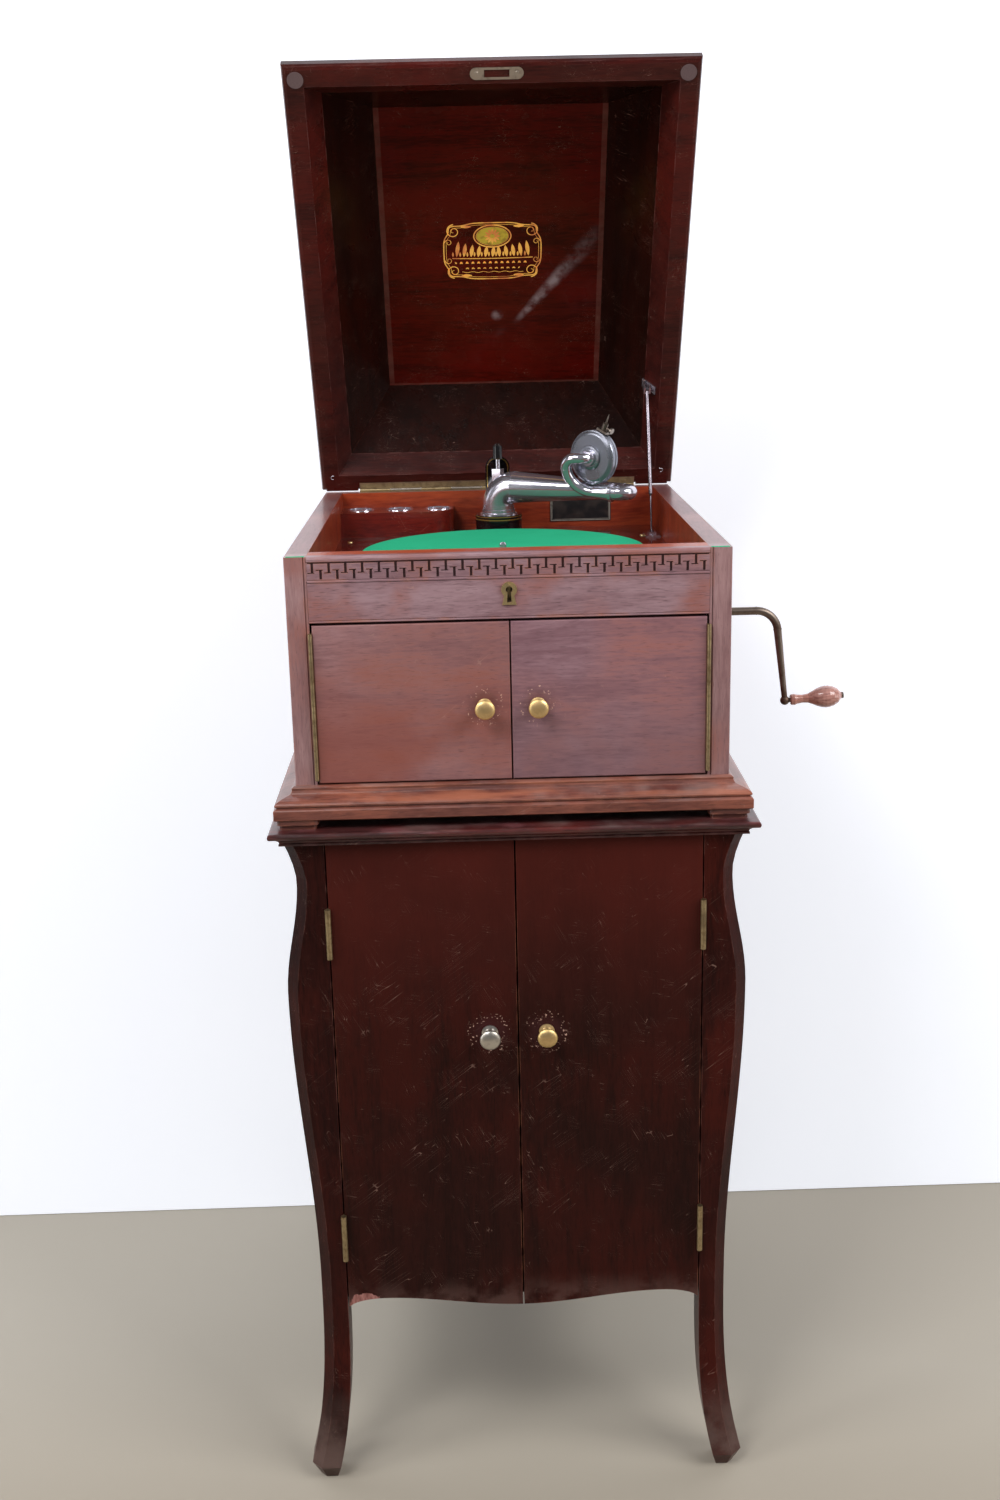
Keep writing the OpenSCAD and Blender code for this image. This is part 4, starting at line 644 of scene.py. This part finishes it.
def felt(name, light, dark):
    """Felt of short fibres, painted dull brown where it is only seen in a reflection: a painted
    reflection.
    """
    p = Paint(name)
    t = p.tree
    fibre = noise(t, p.pos, 900.0, 6.0, 0.7)
    col = mix(t, fibre, dark, light)
    col = mix(t, times(t, p.patches(14.0, 0.35, 0.7), 0.25), col, light)
    # painted reflection, glossy rays see the felt as dull brown
    mirrored = add(t, "LightPath").outputs["Is Glossy Ray"]
    col = mix(t, times(t, mirrored, 0.6), col, srgb(70, 52, 50))
    p.set(Base_Color=col, Roughness=0.95, Specular_IOR_Level=0.1)
    p.bump(fibre, 0.5, 0.0004)
    return p.mat


black = enamel()
black_bracket = bracket_enamel()
black_plate = plate_enamel()
green = felt("green_felt", srgb(52, 194, 144), srgb(30, 156, 112))
grey_felt = felt("bumper_felt", srgb(120, 100, 100), srgb(88, 70, 72))
grip = wood("grip_wood", srgb(212, 156, 144), srgb(156, 102, 92), srgb(196, 132, 116),
            patch=(30.0, 0.4, 0.62), wear=0.4, rough=0.24, coat=0.7, coat_rough=0.06, figure=0.6,
            streaks=1.0)

LOOKS = {
    "stand_top": top_wood, "stand_legs": leg_wood, "stand_side_panels": panel_wood,
    "stand_back": panel_wood, "stand_shelves": panel_wood, "record_dividers": plain_wood,
    "left_stand_door": stand_door_l, "right_stand_door": stand_door_r,
    "left_stand_hinges": hinge_brass, "right_stand_hinges": hinge_brass,
    "left_stand_knob": knob_nickel, "right_stand_knob": knob_brass,
    "case_feet": foot_wood, "base_moulding": base_wood, "case_bottom": plain_wood,
    "case_walls": walls, "case_stiles": stiles, "fretted_rail": front_rail, "key_rail": front_rail,
    "lid_lock": lock_brass, "left_door": case_door_l, "left_door_hinge": hinge_brass,
    "left_door_knob": knob_brass, "right_door": case_door_r, "right_door_hinge": hinge_brass,
    "right_door_knob": knob_brass, "fixed_hinge_leaves": hinge_brass,
    "motor_board": board_wood, "horn_box": plain_wood, "horn_throat": iron,
    "data_plate": black_plate, "needle_block": block_wood, "needle_cups": nickel,
    "arm_base": black, "arm_bracket": black_bracket, "motor_frame": iron,
    "crank_bush": motor_brass, "stay_bracket": nickel, "lid_rim": lid_edge,
    "lid_walls": lid_inner, "lid_top": lid_panel, "lid_hinge_leaf": dull_nickel,
    "strike_plate": dull_nickel, "lid_bumpers": grey_felt, "stay_knuckle": nickel,
    "stay_rod": rod_nickel, "tone_arm": nickel, "gooseneck": nickel, "sound_box": box_nickel,
    "needle_arm": steel, "turntable": nickel, "turntable_felt": green,
    "intermediate_gear": motor_brass, "spring_barrel": motor_brass, "winding_arbor": steel,
    "governor": motor_brass, "brake_lever": nickel, "speed_lever": nickel,
    "crank_arm": crank_steel, "crank_grip": grip,
}
for name, obj in NODES.items():
    obj.data.materials.clear()
    obj.data.materials.append(LOOKS[name])

# ---------------------------------------------------------------- small pieces


def piece(name, bm, material, body, matrix=None, smooth=True):
    mesh = bpy.data.meshes.new(name)
    bm.to_mesh(mesh)
    bm.free()
    if smooth:
        mesh.shade_smooth()
    obj = bpy.data.objects.new(name, mesh)
    bpy.context.scene.collection.objects.link(obj)
    if matrix is not None:
        obj.data.transform(matrix)
    obj.data.materials.append(material)
    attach(obj, body)


def lid_matrix():
    """From the shut lid to the open one."""
    c = Vector(HINGE)
    return Matrix.Translation(c) @ Matrix.Rotation(-OPEN, 4, "X") @ Matrix.Translation(-c)


def facing(point, normal, spin=0.0):
    """Matrix that puts a piece drawn round +Z at point, facing normal."""
    turn = Vector(normal).to_track_quat("Z", "Y").to_matrix().to_4x4()
    return Matrix.Translation(Vector(point)) @ turn @ Matrix.Rotation(spin, 4, "Z")


def circle(r, height, seg):
    """Points of a level circle round Z."""
    turns = [2 * math.pi * i / seg for i in range(seg)]
    return [Vector((r * math.cos(a), r * math.sin(a), height)) for a in turns]


def dome(bm, top, rings, seg, matrix):
    """Low dome round Z: its top's height, then rings of (radius, height)."""
    tip = bm.verts.new(matrix @ Vector((0, 0, top)))
    rings = [[bm.verts.new(matrix @ co) for co in circle(r, h, seg)] for r, h in rings]
    for i in range(seg):
        bm.faces.new((tip, rings[0][i], rings[0][(i + 1) % seg]))
    for a, b in zip(rings, rings[1:]):
        for i in range(seg):
            j = (i + 1) % seg
            bm.faces.new((a[i], b[i], b[j], a[j]))
    bmesh.ops.recalc_face_normals(bm, faces=bm.faces)


def stamp(bm, sub, matrix):
    """Moves sub by matrix into bm, and frees it."""
    mesh = bpy.data.meshes.new("tmp")
    sub.to_mesh(mesh)
    sub.free()
    mesh.transform(matrix)
    bm.from_mesh(mesh)
    bpy.data.meshes.remove(mesh)


def screw_heads(name, places, material, body, r, rise=1.0):
    """Countersunk screw heads with their slots, each place a point and a normal; rise flattens them."""
    bm = bmesh.new()
    for point, normal in places:
        m = facing(point, normal, rng.uniform(0, math.pi)) @ Matrix.Diagonal((1, 1, rise, 1))
        sub = bmesh.new()
        bmesh.ops.create_cone(sub, cap_ends=True, segments=28, radius1=r, radius2=r * 0.86,
                              depth=r * 0.3)
        bmesh.ops.translate(sub, vec=(0, 0, r * 0.13), verts=sub.verts)
        stamp(bm, sub, m)
        # the two lands beside the slot
        for sx in (-1, 1):
            sub = bmesh.new()
            bmesh.ops.create_cube(sub, size=1.0)
            bmesh.ops.scale(sub, vec=(r * 0.72, r * 1.5, r * 0.12), verts=sub.verts)
            bmesh.ops.translate(sub, vec=(sx * r * 0.46, 0, r * 0.31), verts=sub.verts)
            stamp(bm, sub, m)
    piece(name, bm, material, body, smooth=False)


def tube(bm, pts, r, seg=10):
    """Round tube through pts with flat ends."""
    rings = []
    last = len(pts) - 1
    turns = [2 * math.pi * k / seg for k in range(seg)]
    for i, p in enumerate(pts):
        d = (Vector(pts[min(i + 1, last)]) - Vector(pts[max(i - 1, 0)])).normalized()
        side = d.cross(Vector((0, 0, 1)))
        side = side.normalized() if side.length > 1e-6 else Vector((1, 0, 0))
        up = side.cross(d)
        around = [r * (math.cos(a) * side + math.sin(a) * up) for a in turns]
        rings.append([bm.verts.new(Vector(p) + out) for out in around])
    for a, b in zip(rings, rings[1:]):
        for k in range(seg):
            m = (k + 1) % seg
            bm.faces.new((a[k], a[m], b[m], b[k]))
    bm.faces.new(rings[0][::-1])
    bm.faces.new(rings[-1])


LID = lid_matrix()
DOWN = LID.to_3x3() @ Vector((0, 0, -1))
UP = (0, 0, 1)
FRONT = (0, -1, 0)


def on_lid(x, s, up):
    """Point of the lid's rim face plane: x across, s from the hinge, up into the lid."""
    return LID @ Vector((x, HINGE[1] - s, HINGE[2] + up))


screw_heads("hinge_screws",
            [(on_lid(x, 0.0072, -0.0004), DOWN) for x in (-0.148, -0.098, -0.045, 0.115, 0.156)],
            dull_nickel, "lid", 0.0026, rise=0.18)
screw_heads("strike_screws", [(on_lid(x, 0.5075, -0.0006), DOWN) for x in (-0.0164, 0.0256)],
            dull_nickel, "lid", 0.0022, rise=0.4)
screw_heads("board_screws",
            [((x, y, 0.946), UP) for x in (-0.176, 0.168) for y in (-0.196, 0.02, 0.165)],
            lock_brass, "cabinet", 0.0034)
# three screws in the flange of the arm, whose centre lies at y 0.197
flange = [math.radians(a) for a in (-150, -90, -30)]
screw_heads("flange_screws",
            [((0.0312 * math.cos(a), 0.197 + 0.0312 * math.sin(a), 0.9492), UP) for a in flange],
            black, "cabinet", 0.0018)
screw_heads("stay_screws", [((0.179, y, 0.9476), UP) for y in (0.1515, 0.1795)], nickel, "cabinet",
            0.0018)
screw_heads("keyhole_pins", [((0.0, -0.2434, z), FRONT) for z in (0.9628, 0.9455)], lock_brass,
            "cabinet", 0.0010)

# the transfer is drawn in the panel's own plane: x across, y towards the lid's front
TRANSFER_Z = -0.0004
OVAL_Y = 0.0185


def flat(bm, points, z=TRANSFER_Z):
    """One flat face through points of (x, y)."""
    bm.faces.new([bm.verts.new((x, y, z)) for x, y in points])


def stroke(bm, points, w, closed=False):
    """Flat band along points; w is its width, or a function of the share of the way."""
    n = len(points)
    left, right = [], []
    for i in range(n):
        a = points[(i - 1) % n] if closed or i else points[0]
        b = points[(i + 1) % n] if closed or i < n - 1 else points[-1]
        dx, dy = b[0] - a[0], b[1] - a[1]
        d = math.hypot(dx, dy) or 1
        ww = w(i / (n - 1)) if callable(w) else w
        nx, ny = -dy / d * ww / 2, dx / d * ww / 2
        left.append(bm.verts.new((points[i][0] + nx, points[i][1] + ny, TRANSFER_Z)))
        right.append(bm.verts.new((points[i][0] - nx, points[i][1] - ny, TRANSFER_Z)))
    for i in range(n if closed else n - 1):
        j = (i + 1) % n
        bm.faces.new((left[i], left[j], right[j], right[i]))


def leaf(bm, x, y, angle, size, width):
    """Pointed leaf that starts at (x, y)."""
    pts = []
    for i in range(9):
        t = i / 8
        pts.append((t * size, width / 2 * math.sin(math.pi * t) ** 0.8))
    pts += [(px, -py) for px, py in pts[-2:0:-1]]
    c, s = math.cos(angle), math.sin(angle)
    flat(bm, [(x + px * c - py * s, y + px * s + py * c) for px, py in pts])


def spiral(bm, x, y, r0, turns, start, flip, w):
    """Scroll that winds in towards (x, y) and gets thinner."""
    pts = []
    for i in range(40):
        t = i / 39
        r = r0 * (1 - 0.85 * t)
        a = start + flip * turns * 2 * math.pi * t
        pts.append((x + r * math.cos(a), y + r * math.sin(a)))
    stroke(bm, pts, lambda u: w * (1.0 - 0.6 * u))


def squarish(half, value):
    """Coordinate on a rounded rectangle's outline, from the cosine or sine of the angle."""
    return half * math.copysign(abs(value) ** 0.42, value)


def bow(x, rise):
    """Height of a shallow bow over the transfer's width."""
    return rise * (1 - (x / 0.05) ** 2)


def transfer_frame(bm):
    """Wavy double line, with two scrolls and a leaf in each corner."""
    pts = []
    for i in range(128):
        a = 2 * math.pi * i / 128
        k = 1 + 0.03 * math.cos(8 * a)
        pts.append((squarish(0.055 * k, math.cos(a)), squarish(0.034 * k, math.sin(a))))
    stroke(bm, pts, 0.0013, closed=True)
    stroke(bm, [(x * 0.95, y * 0.93) for x, y in pts], 0.0005, closed=True)
    for sx in (-1, 1):
        for sy in (-1, 1):
            inward = math.pi if sx > 0 else 0.0
            spiral(bm, sx * 0.045, sy * 0.025, 0.0085, 1.5, sy * QUARTER, -sx * sy, 0.0014)
            spiral(bm, sx * 0.051, sy * 0.011, 0.0045, 1.2, math.pi - inward, sx * sy, 0.0010)
            leaf(bm, sx * 0.037, sy * 0.0305, inward, 0.013, 0.0034)


def transfer_garland(bm):
    """Upright leaves with buds between them under the oval, and two finer rows of beads below."""
    for i in range(11):
        x = -0.042 + 0.0084 * i
        tall = 0.0135 + 0.006 * (abs(x) / 0.042) ** 2
        lean = 0.14 * math.copysign(1, x) * (x != 0)
        leaf(bm, x, -0.0065 - bow(x, 0.001), QUARTER + lean, tall, 0.0046)
        leaf(bm, x - 0.0042, -0.0068, QUARTER, 0.0062, 0.0022)
    across = [-0.047 + 0.00235 * i for i in range(41)]
    stroke(bm, [(x, -0.0085 - bow(x, 0.0008)) for x in across], 0.0010)
    for row, (y, n, size) in enumerate(((-0.0145, 25, 0.0040), (-0.0215, 19, 0.0030))):
        for i in range(n):
            x = (i - (n - 1) / 2) * 0.0034
            angle = math.pi / 4 if (i + row) % 2 else 3 * math.pi / 4
            leaf(bm, x - size * 0.25, y - size * 0.25, angle, size * 0.9, size * 0.5)
    wave = [(-0.036 + 0.0018 * i, -0.0262 + 0.0006 * math.cos(i * 0.9)) for i in range(41)]
    stroke(bm, wave, 0.0006)


def lid_transfer():
    """Gilt transfer on the lid's inner panel: frame, oval with a rosette, garland and bead rows."""
    # both gilt materials glow: painted light that stands in for the gilding's metallic glint in the
    # lid's shade
    gold = metal("gilt_transfer", srgb(255, 184, 84), 0.5, srgb(206, 104, 62), 0.8, scale=60.0,
                 metallic=0.0, glow=0.3)
    field = metal("gilt_field", srgb(196, 166, 52), 0.55, srgb(130, 90, 36), 0.7, scale=90.0,
                  metallic=0.0, glow=0.25)
    bm = bmesh.new()
    transfer_frame(bm)
    turns = [2 * math.pi * i / 64 for i in range(64)]
    oval = [(0.0215 * math.cos(a), OVAL_Y + 0.0135 * math.sin(a)) for a in turns]
    stroke(bm, oval, 0.0015, closed=True)
    stroke(bm, [(x * 0.88, OVAL_Y + (y - OVAL_Y) * 0.84) for x, y in oval], 0.0005, closed=True)
    for i in range(12):
        a = 2 * math.pi * i / 12
        leaf(bm, 0.002 * math.cos(a), OVAL_Y + 0.002 * math.sin(a), a, 0.0075, 0.0024)
    transfer_garland(bm)
    # the transfer's middle lies 262 mm from the hinge and 100 mm deep in the lid
    middle = Matrix.Translation((0.0, HINGE[1] - 0.262, HINGE[2] + 0.1))
    place = LID @ middle @ Matrix.Scale(-1, 4, (0, 1, 0))
    piece("lid_transfer", bm, gold, "lid", place, smooth=False)
    disc = bmesh.new()
    flat(disc, [(x * 0.86, OVAL_Y + (y - OVAL_Y) * 0.8) for x, y in oval], TRANSFER_Z / 2)
    piece("lid_transfer_field", disc, field, "lid", place, smooth=False)


lid_transfer()

# thin felt strips on the front ends of the side rims
for side in (-1, 1):
    bm = bmesh.new()
    bmesh.ops.create_cube(bm, size=1.0)
    bmesh.ops.scale(bm, vec=(0.0175, 0.005, 0.00016), verts=bm.verts)
    bmesh.ops.translate(bm, vec=(side * 0.1992, -0.2385, 0.99309), verts=bm.verts)
    piece(f"rim_felt_{'left' if side < 0 else 'right'}", bm, green, "cabinet", smooth=False)

# small wire hooks that lie flat on the rear of the lid rim: places from the middle and the hinge
HOOK_X = 0.200
HOOK_START = 0.017
HOOK_MIDDLE = 0.020
HOOK_R = 0.0026
WIRE_R = 0.0004
WIRE_UP = -0.0005
for side in (-1, 1):
    bm = bmesh.new()
    pts = [on_lid(side * HOOK_X, HOOK_START, WIRE_UP)]
    for i in range(10):
        a = math.radians(-90 + 24 * i)
        x = side * (HOOK_X + HOOK_R * math.cos(a))
        pts.append(on_lid(x, HOOK_MIDDLE + HOOK_R * math.sin(a), WIRE_UP))
    tube(bm, pts, WIRE_R)
    piece(f"rim_hook_{'left' if side < 0 else 'right'}", bm, nickel, "lid")

# filled nail hole near the foot of the right front leg
bm = bmesh.new()
nail = facing((0.2035, -0.2594, 0.094), (0.0, -1, 0.02))
dome(bm, 0.0004, [(0.0016, 0.0003), (0.0021, -0.0002)], 20, nail)
pale = Paint("filler").set(Base_Color=srgb(214, 206, 198), Roughness=0.7).mat
piece("nail_filler", bm, pale, "cabinet")

# ---------------------------------------------------------------- stage, light and camera


def backdrop_paper():
    """Bright paper, clear from behind so that the cabinet's back can be looked at."""
    p = Paint("backdrop")
    t = p.tree
    tone = srgb(236, 239, 246)
    p.set(Base_Color=tone, Roughness=0.9, Emission_Color=tone, Emission_Strength=0.42)
    end = next(n for n in t.nodes if n.type == "OUTPUT_MATERIAL")
    both = t.nodes.new("ShaderNodeMixShader")
    t.links.new(add(t, "NewGeometry").outputs["Backfacing"], both.inputs[0])
    t.links.new(p.bsdf.outputs[0], both.inputs[1])
    t.links.new(add(t, "BsdfTransparent").outputs[0], both.inputs[2])
    t.links.new(both.outputs[0], end.inputs["Surface"])
    return p.mat


def floor_paper():
    """Pale floor with painted shade: a little darker towards the front and the right."""
    p = Paint("floor")
    t = p.tree
    # painted shade on the floor, darker towards the front and the right
    front = times(t, step(t, p.y, 0.10, -0.45), 0.8)
    side = times(t, step(t, p.x, -0.2, 0.7), 0.3)
    col = mix(t, larger(t, front, side), srgb(184, 177, 164), srgb(156, 145, 129))
    p.set(Base_Color=col, Roughness=0.8)
    return p.mat


def sheet(name, corners, material):
    mesh = bpy.data.meshes.new(name)
    mesh.from_pydata(corners, [], [tuple(range(len(corners)))])
    obj = bpy.data.objects.new(name, mesh)
    obj.data.materials.append(material)
    bpy.context.scene.collection.objects.link(obj)


# the backdrop meets the floor just behind the cabinet, not quite square to it, and leans back
REACH = 6.0
LEAN = 1.2
FOOT_LEFT = 0.263
FOOT_RIGHT = 0.311
sheet("floor", [(-REACH, -REACH, 0), (REACH, -REACH, 0), (REACH, REACH, 0), (-REACH, REACH, 0)],
      floor_paper())
sheet("backdrop",
      [(-REACH, FOOT_LEFT, 0.001), (REACH, FOOT_RIGHT, 0.001),
       (REACH, FOOT_RIGHT + LEAN, REACH), (-REACH, FOOT_LEFT + LEAN, REACH)],
      backdrop_paper())


def light(name, place, target, size, power):
    data = bpy.data.lights.new(name, "AREA")
    data.shape = "RECTANGLE"
    data.size, data.size_y = size
    data.energy = power
    obj = bpy.data.objects.new(name, data)
    obj.location = place
    obj.rotation_mode = "QUATERNION"
    obj.rotation_quaternion = (Vector(target) - Vector(place)).to_track_quat("-Z", "Y")
    bpy.context.scene.collection.objects.link(obj)


light("key", (-1.3, -1.9, 3.0), (0, 0, 0.8), (1.2, 0.9), 46)
light("fill", (1.9, -1.7, 2.6), (0, 0, 0.7), (1.2, 1.2), 34)
light("low_left", (-2.6, -1.4, 1.0), (0, 0, 0.5), (0.8, 1.6), 12)
light("low_right", (2.6, -1.2, 1.0), (0, 0, 0.5), (0.8, 1.6), 10)
light("wash_left", (-2.4, -0.9, 2.6), (-0.8, 0.9, 1.2), (1.0, 1.0), 26)
light("wash_right", (2.4, -0.9, 2.6), (0.8, 0.9, 1.2), (1.0, 1.0), 26)

scene = bpy.context.scene
scene.view_settings.view_transform = "Standard"
world = bpy.data.worlds.new("studio")
world.use_nodes = True
world.node_tree.nodes["Background"].inputs[0].default_value = rgba((0.90, 0.93, 1.0))
world.node_tree.nodes["Background"].inputs[1].default_value = 0.16
scene.world = world

# the camera fitted to the photo: its place in metres, its turn, and its focal length in pixels
PLACE = (-0.0364, -1.7790, 1.2317)
PHOTO_HEIGHT = 1500
FOCAL = 1656.58
SENSOR = 36
pitch, yaw, roll = math.radians(15.622), math.radians(0.914), math.radians(-1.282)
ahead = Vector((math.sin(yaw) * math.cos(pitch), math.cos(yaw) * math.cos(pitch), -math.sin(pitch)))
flat_right = Vector((math.cos(yaw), -math.sin(yaw), 0))
flat_up = flat_right.cross(ahead)
right = math.cos(roll) * flat_right + math.sin(roll) * flat_up
up = -math.sin(roll) * flat_right + math.cos(roll) * flat_up
camera = bpy.data.objects.new("camera", bpy.data.cameras.new("camera"))
camera.data.sensor_width = SENSOR
camera.data.lens = FOCAL * SENSOR / PHOTO_HEIGHT
camera.data.clip_start = 0.1
camera.data.clip_end = 50
camera.matrix_world = Matrix((
    (right.x, up.x, -ahead.x, PLACE[0]),
    (right.y, up.y, -ahead.y, PLACE[1]),
    (right.z, up.z, -ahead.z, PLACE[2]),
    (0, 0, 0, 1),
))
scene.collection.objects.link(camera)
scene.camera = camera
